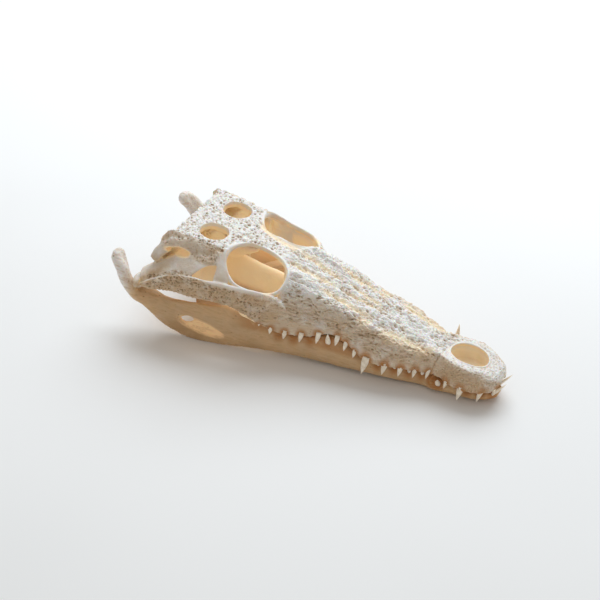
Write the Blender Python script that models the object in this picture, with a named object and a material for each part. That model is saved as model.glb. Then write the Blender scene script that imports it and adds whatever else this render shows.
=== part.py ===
"""Crocodile skull with its lower jaw closed, at life size, lying on its lower jaw.

The bones are laid out in a skull frame: s runs back from the tip of the snout, y runs
out to the left and z up from the line where the jaws meet, all in millimetres.  The
finished solids are turned nose-down by REST_PITCH, so that the chin and the two angles
of the jaw touch the floor, and are written in metres with +X towards the snout.
"""
import math

import bmesh
import bpy
import numpy as np
from mathutils import Matrix, Vector

MM = 0.001
REST_PITCH = math.radians(4.40)   # lower edge of the jaw against the line of the teeth
SEAM = 0.3                        # gap between neighbouring bones
JOINT_ROOM = 1.2                  # room round the ball of the jaw's joint
VOXEL = 1.15                      # grid on which overlapping forms become one bone
WELD = 0.01                       # corners nearer than this become one
FLOOR = -12.5                     # height of the floor under the tip's frame, turned
TIP_X = 169.66                    # the tip of the snout ahead of the middle of the skull
COARSE = 0.0238                   # share of the triangles of the fine skin that is kept
STEP = 4                          # spacing of the sections of a tube
RING = 40                         # points round a snout section
TOOTH_SIDES = 6
TOOTH_ROOT = 3.0                  # how far a tooth runs into its jaw

# Snout sections: s, then the midline height, the shoulder (y, z), the widest point (y, z)
# and the height of the tooth margin.
SNOUT = (
    (0.6, 10.5, 3.0, 10.0, 5.0, 8.0, 5.5),
    (3, 13.6, 7.0, 13.2, 12.0, 9.0, 3.4),
    (9, 16.4, 11.5, 16.2, 18.6, 9.2, 1.8),
    (18, 17.6, 16.5, 18.8, 23.4, 9.2, 1.0),
    (30, 18.4, 20.0, 20.6, 25.4, 9.2, 0.3),
    (42, 19.0, 18.8, 21.0, 23.4, 9.5, 0.0),
    (52, 19.2, 16.0, 21.2, 20.6, 10.0, 1.6),
    (60, 20.6, 16.5, 21.6, 21.6, 9.6, 1.4),
    (75, 23.4, 19.5, 22.8, 27.4, 8.6, 1.2),
    (92, 27.0, 23.5, 25.8, 33.0, 8.6, 0.8),
    (111, 30.8, 26.0, 28.6, 36.2, 9.4, 0.6),
    (130, 35.0, 25.5, 33.4, 35.6, 15.0, 8.6),
    (146, 38.2, 25.5, 37.6, 36.6, 19.5, 13.2),
    (160, 41.2, 26.0, 41.0, 39.0, 18.5, 6.8),
    (175, 44.6, 26.0, 44.4, 42.6, 17.0, 2.6),
    (190, 47.8, 25.5, 47.6, 47.2, 18.0, 2.0),
    (203, 50.6, 24.0, 50.4, 51.2, 20.0, 6.0),
)
# Openings: middle, half lengths, and how far they go in.  Levels are (z, share of the outline).
NARIS = dict(s=33.0, half_s=17.6, half_y=14.4, rim=22.0, floor=9.5)
ORBIT = dict(s=221.0, y=33.5, half_s=27.5, half_y=21.5, power=2.3,
             levels=((12, 0.72), (26, 0.96), (34, 1.0), (90, 1.0)))
TABLE_HOLE = dict(s=270.7, y=20.5, half_s=12.8, half_y=12.4, power=2.2,
                  levels=((49, 0.9), (62, 1.0), (90, 1.0)))
JAW_HOLE = dict(s=260.0, z=-16.4, half_s=18.5, half_z=6.4, y=(53.6, 83.6))
JAW_HOLE_THROUGH = dict(s=271.5, z=-12.6, half_s=5.6, half_z=2.6, y=(33.6, 83.6))

# Roof between the orbits: s, half width, top height.
ROOF = ((186, 25, 46.6), (200, 18.5, 50), (212, 13.0, 53), (224, 10.8, 55.4),
        (236, 11.8, 57.2), (243, 16.5, 58), (248, 27, 58.6), (256, 33, 59))
ROOF_DEPTH = 4.6
# Skull table: s, half width, top height.
TABLE = ((246, 31, 58.4), (250, 36, 58.8), (262, 38.5, 59.6), (280, 39.5, 60.2),
         (294, 40.5, 60.4), (300, 40, 60))
TABLE_DEPTH = 6.4
# Brain case: s, half width, lowest, highest.
BRAIN_CASE = ((236, 4.5, 42, 56), (248, 7, 34, 57), (262, 8.6, 26, 57.5), (280, 11.5, 18, 57.5),
              (292, 18, 10, 57), (300, 22, 12, 55), (305, 17, 20, 49))
# Palatine and pterygoid tube: s, half width, lowest, ridge.
TUBE = ((150, 15, 5, 32), (172, 13, 1, 27), (200, 12, -1, 27.5), (225, 12.5, -2, 28.5),
        (246, 13.5, -3, 30), (264, 13, -3, 32), (284, 11, -1, 30), (298, 9, 6, 26))
# Cheek bones (jugal and quadratojugal bar): s, y, half thickness, lowest, highest.
CHEEK = ((184, 40.6, 3.6, 6, 30), (196, 45.4, 3.8, 4.0, 38), (206, 50.4, 3.4, 8.4, 40),
         (217, 54.0, 3.2, 14.4, 40.0), (228, 56.6, 3.0, 18.8, 40.6), (240, 59.2, 3.0, 20.0, 40.8),
         (254, 61.0, 3.0, 18.8, 39.0), (268, 62.6, 3.0, 17.4, 37.4), (282, 64.0, 3.0, 17.4, 34.5),
         (297, 65.8, 3.0, 14.8, 27.0), (308, 66.8, 3.2, 12.6, 19.5), (314, 66.8, 2.8, 12.2, 15.6))
# Sheet that rises from the cheek to the quadrate: s, lower (y, z), upper (y, z).
SHEET = ((257, 42, 53, 37, 56), (264, 50, 47.5, 38.5, 55), (270, 60, 36.5, 40, 53),
         (284, 64, 32, 43.5, 47.5), (299, 66, 21.5, 52, 34), (311, 67, 14.5, 60, 19))
SHEET_THICKNESS = 3.6

# Bars of one side, each with the (s, y, z) points of its middle line, half its width and
# height at each point, and the direction that its height faces.
BARS = {
    "postorbital": (((249, 34, 56.5), (247, 44.6, 50), (244, 53, 42), (241.5, 57, 32)),
                    ((5.0, 3.6), (4.8, 3.0), (5.0, 3.0), (7.0, 3.0)), (0, 1, 1)),
    "quadrate": (((262, 34, 50), (280, 39, 44), (300, 49.5, 29), (317, 57, 15)),
                 ((6, 5.0), (7, 5.5), (9.5, 5.5), (11.5, 4.6)), (0, 0, 1)),
    "quadrate_inner": (((281, 12, 34), (287, 28, 36), (296, 42, 31)),
                       ((15, 6), (13, 5), (9, 5)), (0, 0, 1)),
    "squamosal": (((260, 35, 55), (280, 38.5, 54.5), (296, 42.5, 51), (305.5, 47, 42),
                   (310.5, 50.5, 32)),
                  ((4, 3.6), (5, 4.4), (6, 5.4), (5, 5), (4, 4)), (0, 0, 1)),
    "paroccipital": (((297, 8, 42), (302, 26, 41), (310.5, 49, 31)),
                     ((5.5, 9), (4, 8), (3.4, 5.2)), (0, 0, 1)),
    "pterygoid": (((262, 2, 6), (264, 20, 0), (262, 33, -7), (258, 41, -12)),
                  ((26, 4), (18, 2.6), (13, 2.6), (9, 3.2)), (0, 0, 1)),
    "ectopterygoid": (((210, 48.5, 18), (226, 43.5, 18), (244, 37.5, 4), (256, 36.5, -9)),
                      ((4, 3), (4.6, 3), (5, 3), (6, 3)), (0, 0, 1)),
    "palate_shelf": (((164, 32, 8), (185, 37, 8), (204, 44.5, 11), (218, 50, 18)),
                     ((8, 5), (6.5, 4.5), (5, 4), (3.5, 3.5)), (0, 0, 1)),
}
BASE_OF_SKULL = (((298, 0, 26), (302, 0, 12), (302, 0, 6)), ((11, 5), (12, 4), (9, 3)), (1, 0, 0))
OCCIPUT = (((300, -34, 46), (301, 0, 46), (300, 34, 46)), ((2.6, 8), (2.6, 9), (2.6, 8)), (0, 0, 1))
# Round ends, as a middle (s, y, z) and three radii.
JAW_JOINT = ((319, 57.4, 10.4), (5.6, 11.4, 5.4))
NECK_JOINT = ((309.5, 0, 28), (7, 7.5, 6.5))

# Lower jaw, one side: s, outer y, inner y, y of the lower edge, lowest, highest.
JAW = ((1.5, 6.5, -0.6, 2.4, -8.4, -3.6), (8, 12.6, -0.6, 4.0, -10.6, -2.4),
       (18, 17.0, -0.6, 5.0, -12.8, -1.8), (32, 18.4, -0.6, 6.0, -15.0, -1.8),
       (43, 19.4, 0.8, 7.6, -16.2, -1.4), (53, 21.8, 6.6, 11.4, -16.9, -0.8),
       (63, 19.4, 9.0, 13.6, -17.0, -2.4), (84, 25.2, 14.4, 18.8, -17.3, -2.4),
       (100, 28.8, 18.8, 23.0, -17.7, -2.2), (117, 32.2, 22.4, 26.6, -18.3, -1.0),
       (132, 34.0, 25.0, 29.4, -19.2, 4.8), (146, 35.6, 27.0, 31.6, -20.2, 8.6),
       (158, 37.2, 29.0, 33.6, -20.8, 4.2), (172, 39.6, 31.6, 36.2, -21.4, -0.2),
       (190, 43.4, 35.2, 39.6, -23.0, -1.0), (207, 47.0, 38.6, 43.0, -24.8, 2.4),
       (222, 50.6, 41.6, 46.0, -27.4, 6.2), (239, 53.4, 45.0, 49.4, -30.4, 9.0),
       (253, 55.4, 47.4, 51.6, -32.6, 6.2), (265, 56.8, 49.0, 53.2, -33.8, 3.9),
       (281, 58.8, 50.2, 54.8, -32.0, 1.2), (296, 61.0, 50.0, 56.0, -27.0, -0.4),
       (306, 63.6, 48.8, 56.8, -18.8, 1.4), (314, 66.0, 47.8, 57.4, -11.6, 2.2),
       (321, 66.6, 48.4, 57.8, -5.4, 2.2), (328, 64.0, 50.4, 58.0, -1.0, 6.0))
# Retroarticular process, a bar behind the joint that rises and bends inward, and its round end.
SPUR = (((311, 57, -9), (320, 60, -4.6), (328.5, 62.6, 7), (336.5, 60.6, 19), (344, 56.4, 26)),
        ((6, 5), (6.5, 5), (7.2, 5.4), (7.2, 5.2), (6.2, 4.8)), (0, -0.5, 0.87))
SPUR_END = ((343.6, 56.2, 26), (4.8, 6.0, 4.8))

# Teeth, one side: s, y, height of the root, length, radius, lean out, lean back.
UPPER_TEETH = (
    (4.5, 9.0, 4.4, 8.5, 1.7, 0.25, -0.1), (12.8, 17.8, 2.6, 12.0, 2.3, 0.2, 0.12),
    (29, 22.8, 1.6, 13.2, 2.9, 0.16, 0.05), (42.5, 21.6, 1.4, 8.0, 1.9, 0.14, 0.1),
    (60, 20.4, 2.8, 7.6, 1.7, 0.3, 0.05), (70.5, 23.6, 2.6, 9.0, 2.1, 0.16, 0.05),
    (82, 27.4, 2.4, 10.2, 2.4, 0.16, 0.05), (95, 31.2, 2.2, 11.6, 2.7, 0.16, 0.05),
    (111, 35.0, 2.4, 16.0, 3.3, 0.14, 0.08), (122, 34.8, 5.4, 6.6, 1.9, 0.2, 0.05),
    (131, 34.8, 9.6, 7.6, 2.0, 0.2, 0.05), (139, 35.4, 12.8, 8.6, 2.2, 0.16, 0.05),
    (155.5, 37.8, 9.6, 9.0, 2.2, 0.16, 0.05), (170, 40.6, 5.0, 7.6, 2.2, 0.16, 0.05),
    (184, 43.8, 3.4, 6.6, 2.1, 0.16, 0.0), (196, 46.8, 4.6, 5.6, 2.0, 0.16, 0.0),
    (206, 48.9, 9.2, 5.0, 1.9, 0.16, 0.0), (215, 51.0, 14.2, 4.4, 1.8, 0.16, 0.0),
)
LOWER_TEETH = (
    (1.5, 6.4, -4.6, 16.5, 2.1, 0.08, -0.42), (14, 13.6, -3.2, 3.6, 1.7, 0.0, 0.0),
    (24.5, 15.6, -3.0, 3.0, 1.6, 0.0, 0.0), (55, 22.4, -2.6, 27.0, 3.2, 0.5, 0.0),
    (65.5, 17.0, -3.6, 3.8, 1.7, 0.0, 0.0), (76.5, 20.0, -3.6, 3.8, 1.8, 0.0, 0.0),
    (88.5, 23.4, -3.6, 3.6, 1.9, 0.0, 0.0), (102, 27.0, -3.4, 3.2, 1.8, 0.0, 0.0),
    (147, 35.4, 6.0, 8.4, 2.4, 0.36, 0.0), (163, 34.2, 0.4, 3.6, 2.2, 0.0, 0.0),
    (177.5, 36.8, -2.6, 3.4, 2.1, 0.0, 0.0), (190.5, 39.6, -3.0, 3.2, 2.0, 0.0, 0.0),
)
TALL_TOOTH = LOWER_TEETH[3]
SHORT_TOOTH = (50, 20.0, -4.2, 3.4, 3.0, 0.3, 0.0)   # the same tooth on the right, broken
# Rows of teeth that each bone takes its own from, and their direction.
TOOTH_ROWS = {"premaxilla": (UPPER_TEETH, -1), "maxilla": (UPPER_TEETH, -1),
              "jugal": (UPPER_TEETH, -1), "dentary": (LOWER_TEETH, 1)}
RESTING = ("dentary", "angular")  # bones that touch the floor

# The bones, each as the box (s, y, z ranges) that it fills of the fused skin, and the
# boxes taken away from that.  Half a seam is left free on every side.  Bones of PAIRS are
# given on the left and made on both sides.
FAR = 400
MIDDLE = {
    "frontal": (((177, 248), (-25, 25), (33, FAR)), (((240, FAR), (-30, 30), (0, 51.0)),)),
    "palate": (((177, FAR), (-53.5, 53.5), (-FAR, 33)), (
        ((240, FAR), (-60, 60), (24, FAR)),
        ((0, 241), (25, FAR), (-FAR, FAR)), ((0, 241), (-FAR, -25), (-FAR, FAR)),
        ((0, FAR), (25, FAR), (16, FAR)), ((0, FAR), (-FAR, -25), (16, FAR)))),
    "braincase": (((240, FAR), (-25, 25), (24, 51.0)), ()),
    "skull_table": (((235, FAR), (-FAR, FAR), (51.0, FAR)), (((0, 248), (-31, 31), (0, FAR)),)),
}
PAIRS = {
    "premaxilla": (((-FAR, 55.5), (0, FAR), (-FAR, FAR)), ()),
    "maxilla": (((55.5, 177), (0, FAR), (-FAR, FAR)), ()),
    "jugal": (((177, 268), (25, FAR), (-FAR, 51.0)), (
        ((241, FAR), (0, 53.5), (-FAR, 19)), ((255.5, FAR), (0, 56), (15, FAR)))),
    "quadrate": (((255.5, FAR), (25, FAR), (-FAR, 51.0)), (
        ((0, 268), (56, FAR), (-FAR, FAR)), ((0, 300), (0, 53.5), (-FAR, 19)))),
}
JAW_PAIRS = {
    "dentary": (((-FAR, 205), (0, FAR), (-FAR, FAR)), ()),
    "angular": (((205, 303), (0, FAR), (-FAR, FAR)), ()),
    "articular": (((303, FAR), (0, FAR), (-FAR, FAR)), ()),
}

BONE = (0.80, 0.74, 0.64)
JAW_BONE = (0.66, 0.57, 0.45)
ROUGHNESS = 0.7


def smooth(stations, column):
    """Return a function of s that passes smoothly through one column of stations."""
    s = np.array([row[0] for row in stations], float)
    v = np.array([row[column] for row in stations], float)
    slope = np.gradient(v, s)

    def value(at):
        i = int(np.clip(np.searchsorted(s, at) - 1, 0, len(s) - 2))
        h = s[i + 1] - s[i]
        t = min(max((at - s[i]) / h, 0.0), 1.0)
        a = (1 + 2 * t) * (1 - t) ** 2 * v[i] + t * (1 - t) ** 2 * h * slope[i]
        return float(a + t * t * (3 - 2 * t) * v[i + 1] + t * t * (t - 1) * h * slope[i + 1])
    return value


def span(stations):
    """Return evenly spaced s values from the first station to the last."""
    first, last = stations[0][0], stations[-1][0]
    return np.linspace(first, last, int(round((last - first) / STEP)) + 1)


def closed_spline(points, count):
    """Return count points on a closed smooth curve through the given ones."""
    p = np.array(points, float)
    n = len(p)
    ring = []
    for k in range(count):
        u = k * n / count
        i = int(u)
        t = u - i
        a, b, c, d = (p[(i + j) % n] for j in (-1, 0, 1, 2))
        ring.append(0.5 * (2 * b + (c - a) * t + (2 * a - 5 * b + 4 * c - d) * t * t
                           + (3 * b - a - 3 * c + d) * t ** 3))
    return ring


def oval(half_a, half_b, power=2.0, count=20):
    """Return a superellipse as (a, b) pairs."""
    pairs = []
    for k in range(count):
        angle = 2 * math.pi * k / count
        c, s = math.cos(angle), math.sin(angle)
        pairs.append((half_a * math.copysign(abs(c) ** (2 / power), c),
                      half_b * math.copysign(abs(s) ** (2 / power), s)))
    return pairs


def add_loft(bm, rings):
    """Add a closed tube through rings of (s, y, z) points, with flat ends."""
    rows = [[bm.verts.new(Vector((-p[0], p[1], p[2])) * MM) for p in ring] for ring in rings]
    n = len(rows[0])
    faces = []
    for a, b in zip(rows, rows[1:]):
        for k in range(n):
            faces.append(bm.faces.new((a[k], a[(k + 1) % n], b[(k + 1) % n], b[k])))
    faces.append(bm.faces.new(rows[0][::-1]))
    faces.append(bm.faces.new(rows[-1]))
    bmesh.ops.recalc_face_normals(bm, faces=faces)


def add_bar(bm, bar, side=1, power=2.2):
    """Add a bar along a smooth path, on the left (+1) or the right (-1)."""
    path, halves, up = bar
    p = np.array(path, float) * (1, side, 1)
    h = np.array(halves, float)
    n = len(p)
    steps = 6
    rings = []
    for k in range((n - 1) * steps + 1):
        u = k / steps
        i = min(int(u), n - 2)
        t = u - i
        a, b, c, d = p[max(i - 1, 0)], p[i], p[i + 1], p[min(i + 2, n - 1)]
        m0, m1 = (c - a) / 2, (d - b) / 2
        centre = ((1 + 2 * t) * (1 - t) ** 2 * b + t * (1 - t) ** 2 * m0
                  + t * t * (3 - 2 * t) * c + t * t * (t - 1) * m1)
        along = Vector((c - b) * (1 - t) * t * 6 + m0 * (1 - t) * (1 - 3 * t) + m1 * t * (3 * t - 2))
        along.normalize()
        side = Vector(up).cross(along).normalized()
        top = along.cross(side)
        w, v = h[i] * (1 - t) + h[i + 1] * t
        rings.append([Vector(centre) + side * x + top * y for x, y in oval(w, v, power)])
    add_loft(bm, rings)


def add_ball(bm, centre, radii):
    """Add an ellipsoid."""
    place = Matrix.Translation(Vector((-centre[0], centre[1], centre[2])) * MM)
    size = Matrix.Diagonal((radii[0] * MM, radii[1] * MM, radii[2] * MM, 1))
    bmesh.ops.create_uvsphere(bm, u_segments=20, v_segments=12, radius=1, matrix=place @ size)


def new_object(name, bm, colour=BONE):
    """Turn a bmesh into an object with its own material."""
    mesh = bpy.data.meshes.new(name)
    bm.to_mesh(mesh)
    bm.free()
    obj = bpy.data.objects.new(name, mesh)
    bpy.context.scene.collection.objects.link(obj)
    material = bpy.data.materials.new(name)
    material.use_nodes = True
    shader = material.node_tree.nodes["Principled BSDF"]
    shader.inputs["Base Color"].default_value = (*colour, 1)
    shader.inputs["Roughness"].default_value = ROUGHNESS
    shader.inputs["Metallic"].default_value = 0.0
    mesh.materials.append(material)
    return obj


def apply_modifiers(obj):
    """Replace an object's mesh by what its modifiers make of it."""
    graph = bpy.context.evaluated_depsgraph_get()
    mesh = bpy.data.meshes.new_from_object(obj.evaluated_get(graph))
    obj.modifiers.clear()
    obj.data = mesh


def combine(obj, other, operation):
    """Apply a Boolean with another object, and remove that object."""
    cut = obj.modifiers.new(operation, 'BOOLEAN')
    cut.operation = operation
    cut.solver = 'EXACT'
    cut.object = other
    apply_modifiers(obj)
    bpy.data.objects.remove(other)


def thin_out(obj, share):
    """Keep a share of an object's triangles."""
    fewer = obj.modifiers.new("Fewer", 'DECIMATE')
    fewer.ratio = share
    fewer.use_collapse_triangulate = True
    apply_modifiers(obj)


def fuse(obj):
    """Make one smooth skin of overlapping forms."""
    grid = obj.modifiers.new("Fuse", 'REMESH')
    grid.mode = 'VOXEL'
    grid.voxel_size = VOXEL * MM
    apply_modifiers(obj)
    even = obj.modifiers.new("Even", 'SMOOTH')
    even.factor = 0.5
    even.iterations = 2
    apply_modifiers(obj)
    drop_specks(obj)


def snout_ring(s):
    """Return the closed section of the snout at s."""
    mid, shoulder_y, shoulder_z, wide_y, wide_z, margin = (smooth(SNOUT, c)(s) for c in range(1, 7))
    half = [(0.5 * shoulder_y, 0.5 * (mid + shoulder_z)), (shoulder_y, shoulder_z),
            (0.55 * wide_y + 0.45 * shoulder_y + 0.8, 0.5 * (wide_z + shoulder_z) + 1.2),
            (wide_y, wide_z), (0.985 * wide_y, 0.4 * wide_z + 0.6 * margin),
            (0.965 * wide_y, margin), (0.84 * wide_y, margin + 1.2), (0.45 * wide_y, margin + 4.0)]
    loop = [(0, mid)] + half + [(0, margin + 4.6)] + [(-y, z) for y, z in reversed(half)]
    return [(s, y, z) for y, z in closed_spline(loop, RING)]


def cheek_rings():
    """Return the sections of the cheek bones."""
    y, half, low, high = (smooth(CHEEK, c) for c in range(1, 5))
    rings = []
    for s in span(CHEEK):
        mid = (low(s) + high(s)) / 2
        tall = (high(s) - low(s)) / 2
        rings.append([(s, y(s) + a, mid + b) for a, b in oval(half(s), tall, 2.6)])
    return rings


def sheet_rings(stations, thickness):
    """Return flat oval sections between the lower and the upper (y, z) of each row."""
    columns = [smooth(stations, c) for c in range(1, 5)]
    rings = []
    for s in span(stations):
        y0, z0, y1, z1 = (c(s) for c in columns)
        length = math.hypot(y1 - y0, z1 - z0)
        u = Vector((y1 - y0, z1 - z0)) / length
        rings.append([(s, (y0 + y1) / 2 + u.x * a - u.y * b, (z0 + z1) / 2 + u.y * a + u.x * b)
                      for a, b in oval(length / 2 + 0.5 * thickness, thickness / 2, 2.4)])
    return rings


def jaw_rings():
    """Return the sections of one half of the lower jaw."""
    outer, inner, keel, low, high = (smooth(JAW, c) for c in range(1, 6))
    rings = []
    for s in span(JAW):
        o, i, k, z0, z1 = outer(s), inner(s), keel(s), low(s), high(s)
        tall = z1 - z0
        half = [(o - 0.28 * (o - i), z1), (o, z1 - 0.34 * tall), (0.86 * o + 0.14 * k, z0 + 0.24 * tall),
                (k, z0), (0.72 * i + 0.28 * k, z0 + 0.26 * tall), (i, z1 - 0.26 * tall),
                (i + 0.24 * (o - i), z1)]
        rings.append([(s, y, z) for y, z in closed_spline(half, 28)])
    return rings


def flip(rings, side):
    """Return rings on the left (+1) or the right (-1)."""
    return [[(s, side * y, z) for s, y, z in ring] for ring in rings]


def add_roof(bm):
    """Add the roof between the orbits and the skull table."""
    for stations, depth in ((ROOF, ROOF_DEPTH), (TABLE, TABLE_DEPTH)):
        half, top = smooth(stations, 1), smooth(stations, 2)
        rings = [[(s, a, top(s) - depth / 2 + b + 1.0 * (a / half(s)) ** 2)
                  for a, b in oval(half(s), depth / 2, 4.0, 28)] for s in span(stations)]
        add_loft(bm, rings)


def add_core(bm):
    """Add the brain case, the occiput and the tube of the palate."""
    for stations, power in ((BRAIN_CASE, 2.6), (TUBE, 1.7)):
        half, low, high = (smooth(stations, c) for c in (1, 2, 3))
        rings = []
        for s in span(stations):
            mid, tall = (low(s) + high(s)) / 2, (high(s) - low(s)) / 2
            rings.append([(s, a, mid + b) for a, b in oval(half(s), tall, power, 24)])
        add_loft(bm, rings)
    add_ball(bm, *NECK_JOINT)
    add_bar(bm, BASE_OF_SKULL)
    add_bar(bm, OCCIPUT)


def add_side(bm, side):
    """Add the bones of one side of the cranium."""
    add_loft(bm, flip(cheek_rings(), side))
    add_loft(bm, flip(sheet_rings(SHEET, SHEET_THICKNESS), side))
    for bar in BARS.values():
        add_bar(bm, bar, side)
    (s, y, z), radii = JAW_JOINT
    add_ball(bm, (s, side * y, z), radii)


def opening(name, hole, side):
    """Return a cutter with the rounded outline of an opening of the roof."""
    bm = bmesh.new()
    outline = oval(hole["half_s"], hole["half_y"], hole["power"], 32)
    add_loft(bm, [[(hole["s"] + a * grow, side * (hole["y"] + b * grow), z) for a, b in outline]
                  for z, grow in hole["levels"]])
    return new_object(name, bm)


def add_tooth(bm, side, tooth, direction):
    """Add a pointed tooth, curved back; direction is -1 down or +1 up."""
    s, y, z, length, radius, out, back = tooth
    rings = []
    for t in (-TOOTH_ROOT / length, 0.5, 1.0):
        r = radius * (1 - 0.9 * max(t, 0) ** 1.4)
        bend = max(t, 0) ** 2
        centre = (s + back * length * t + 0.4 * bend, y + out * length * t * (1 - 0.5 * bend),
                  z + direction * length * t)
        ring = [(centre[0] + a, side * (centre[1] + b), centre[2])
                for a, b in oval(r, 0.85 * r, 2.0, TOOTH_SIDES)]
        rings.append(ring)
    add_loft(bm, rings)


def add_teeth(bone, side, rows, direction):
    """Join teeth to their jaw."""
    bm = bmesh.new()
    for tooth in rows:
        add_tooth(bm, side, tooth, direction)
    combine(bone, new_object("teeth", bm), 'UNION')


def make_cranium():
    """Return the whole cranium as one object."""
    bm = bmesh.new()
    add_loft(bm, [snout_ring(s) for s in span(SNOUT)])
    add_roof(bm)
    add_core(bm)
    for side in (-1, 1):
        add_side(bm, side)
    cranium = new_object("cranium", bm)
    fuse(cranium)
    for side in (-1, 1):
        combine(cranium, opening("orbit", ORBIT, side), 'DIFFERENCE')
        combine(cranium, opening("table_hole", TABLE_HOLE, side), 'DIFFERENCE')
    bm = bmesh.new()
    add_ball(bm, (NARIS["s"], 0, NARIS["rim"]),
             (NARIS["half_s"], NARIS["half_y"], NARIS["rim"] - NARIS["floor"]))
    combine(cranium, new_object("naris", bm), 'DIFFERENCE')
    return cranium


def make_jaw():
    """Return the whole lower jaw as one object."""
    bm = bmesh.new()
    for side in (-1, 1):
        add_loft(bm, flip(jaw_rings(), side))
        add_bar(bm, SPUR, side)
        (s, y, z), radii = SPUR_END
        add_ball(bm, (s, side * y, z), radii)
    jaw = new_object("jaw", bm, JAW_BONE)
    fuse(jaw)
    for side in (-1, 1):
        (s, y, z), radii = JAW_JOINT
        bm = bmesh.new()
        add_ball(bm, (s, side * y, z), [radius + JOINT_ROOM for radius in radii])
        combine(jaw, new_object("joint_room", bm), 'DIFFERENCE')
    for hole in (JAW_HOLE, JAW_HOLE_THROUGH):
        for side in (-1, 1):
            bm = bmesh.new()
            outline = oval(hole["half_s"], hole["half_z"])
            add_loft(bm, [[(hole["s"] + a, side * y, hole["z"] + b) for a, b in outline]
                          for y in hole["y"]])
            combine(jaw, new_object("jaw_hole", bm), 'DIFFERENCE')
    return jaw


def box(ranges, side, grow):
    """Return a box over s, y and z ranges, on the left (+1) or right (-1), grown a little."""
    s, y, z = ranges
    corners = [(-s[1], -s[0]), sorted((side * y[0], side * y[1])), z]
    low = Vector([pair[0] - grow for pair in corners]) * MM
    high = Vector([pair[1] + grow for pair in corners]) * MM
    bm = bmesh.new()
    bmesh.ops.create_cube(bm, size=1, matrix=Matrix.Translation((low + high) / 2)
                          @ Matrix.Diagonal((*(high - low), 1)))
    return new_object("box", bm)


def drop_specks(obj):
    """Keep only the largest body of an object, without its shortest edges."""
    bm = bmesh.new()
    bm.from_mesh(obj.data)
    bmesh.ops.remove_doubles(bm, verts=bm.verts, dist=WELD * MM)
    bmesh.ops.dissolve_degenerate(bm, edges=bm.edges, dist=WELD * MM)
    bmesh.ops.triangulate(bm, faces=bm.faces)
    left = set(bm.verts)
    largest = set()
    for seed in bm.verts:
        if seed in left:
            body, reached = {seed}, [seed]
            while reached:
                for edge in reached.pop().link_edges:
                    fresh = set(edge.verts) - body
                    body |= fresh
                    reached.extend(fresh)
            left -= body
            largest = max(largest, body, key=len)
    bmesh.ops.delete(bm, geom=[vert for vert in bm.verts if vert not in largest], context='VERTS')
    bm.to_mesh(obj.data)
    bm.free()


def make_bone(name, skin, side, extent, colour):
    """Make one bone from a box of the fused skin, with its teeth, in its resting place."""
    keep, away = extent
    bone = new_object(name, bmesh.new(), colour)
    material = bone.data.materials[0]
    bone.data = skin.data.copy()
    combine(bone, box(keep, side, -SEAM / 2), 'INTERSECT')
    for ranges in away:
        combine(bone, box(ranges, side, SEAM / 2), 'DIFFERENCE')
    drop_specks(bone)
    thin_out(bone, COARSE)
    kind = name.rpartition("_")[0]
    if kind in TOOTH_ROWS:
        rows, direction = TOOTH_ROWS[kind]
        rows = [tooth for tooth in rows if keep[0][0] <= tooth[0] < keep[0][1]]
        if side < 0:
            rows = [SHORT_TOOTH if tooth is TALL_TOOTH else tooth for tooth in rows]
        add_teeth(bone, side, rows, direction)
    turn = (Matrix.Translation((TIP_X * MM, 0, -FLOOR * MM))
            @ Matrix.Rotation(REST_PITCH, 4, 'Y'))
    bone.data.transform(turn)
    if kind in RESTING:
        floor = bmesh.new()
        bmesh.ops.create_cube(floor, size=1, matrix=Matrix.Translation((0, 0, -0.5)))
        combine(bone, new_object("floor", floor), 'DIFFERENCE')
    drop_specks(bone)
    bone.data.materials.clear()
    bone.data.materials.append(material)
    bone.data.shade_smooth()
    bone.data.set_sharp_from_angle(angle=math.radians(40))


def make_pairs(skin, pairs, colour):
    """Make the paired bones of a fused skin."""
    for name, extent in pairs.items():
        make_bone(name + "_left", skin, 1, extent, colour)
        make_bone(name + "_right", skin, -1, extent, colour)


for old in list(bpy.data.objects):
    bpy.data.objects.remove(old)
whole_cranium = make_cranium()
for bone_name, bone_extent in MIDDLE.items():
    make_bone(bone_name, whole_cranium, 1, bone_extent, BONE)
make_pairs(whole_cranium, PAIRS, BONE)
whole_jaw = make_jaw()
make_pairs(whole_jaw, JAW_PAIRS, JAW_BONE)
bpy.data.objects.remove(whole_cranium)
bpy.data.objects.remove(whole_jaw)
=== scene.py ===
"""Looks of the crocodile skull: its bones with their sculpture, its teeth, the floor and the light.

The forms are laid out in the skull frame, as the solids are: s runs back from the tip of
the snout, y out to the left and z up from the line where the jaws meet, in millimetres.
"""
import itertools
import math

import bmesh
import bpy
import numpy as np
from mathutils import Matrix, Vector
from mathutils.bvhtree import BVHTree
from mathutils.kdtree import KDTree


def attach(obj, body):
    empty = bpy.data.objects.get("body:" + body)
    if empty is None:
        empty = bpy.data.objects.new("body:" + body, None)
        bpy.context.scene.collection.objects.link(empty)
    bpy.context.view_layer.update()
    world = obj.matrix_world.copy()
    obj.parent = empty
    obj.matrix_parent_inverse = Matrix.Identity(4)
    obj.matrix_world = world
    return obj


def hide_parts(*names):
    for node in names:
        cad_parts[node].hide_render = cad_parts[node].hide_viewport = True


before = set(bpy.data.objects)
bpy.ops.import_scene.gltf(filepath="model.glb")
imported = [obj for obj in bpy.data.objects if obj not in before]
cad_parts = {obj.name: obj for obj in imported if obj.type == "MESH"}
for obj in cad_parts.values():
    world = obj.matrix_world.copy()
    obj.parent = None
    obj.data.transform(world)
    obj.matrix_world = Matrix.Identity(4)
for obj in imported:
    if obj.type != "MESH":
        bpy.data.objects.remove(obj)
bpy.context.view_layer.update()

MM = 0.001
REST_PITCH = math.radians(4.40)  # lower edge of the jaw against the line of the teeth
FLOOR = -12.5  # height of the floor below the tip's origin, once the skull is turned
TIP_X = 169.66  # the tip of the snout ahead of the middle of the skull
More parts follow.
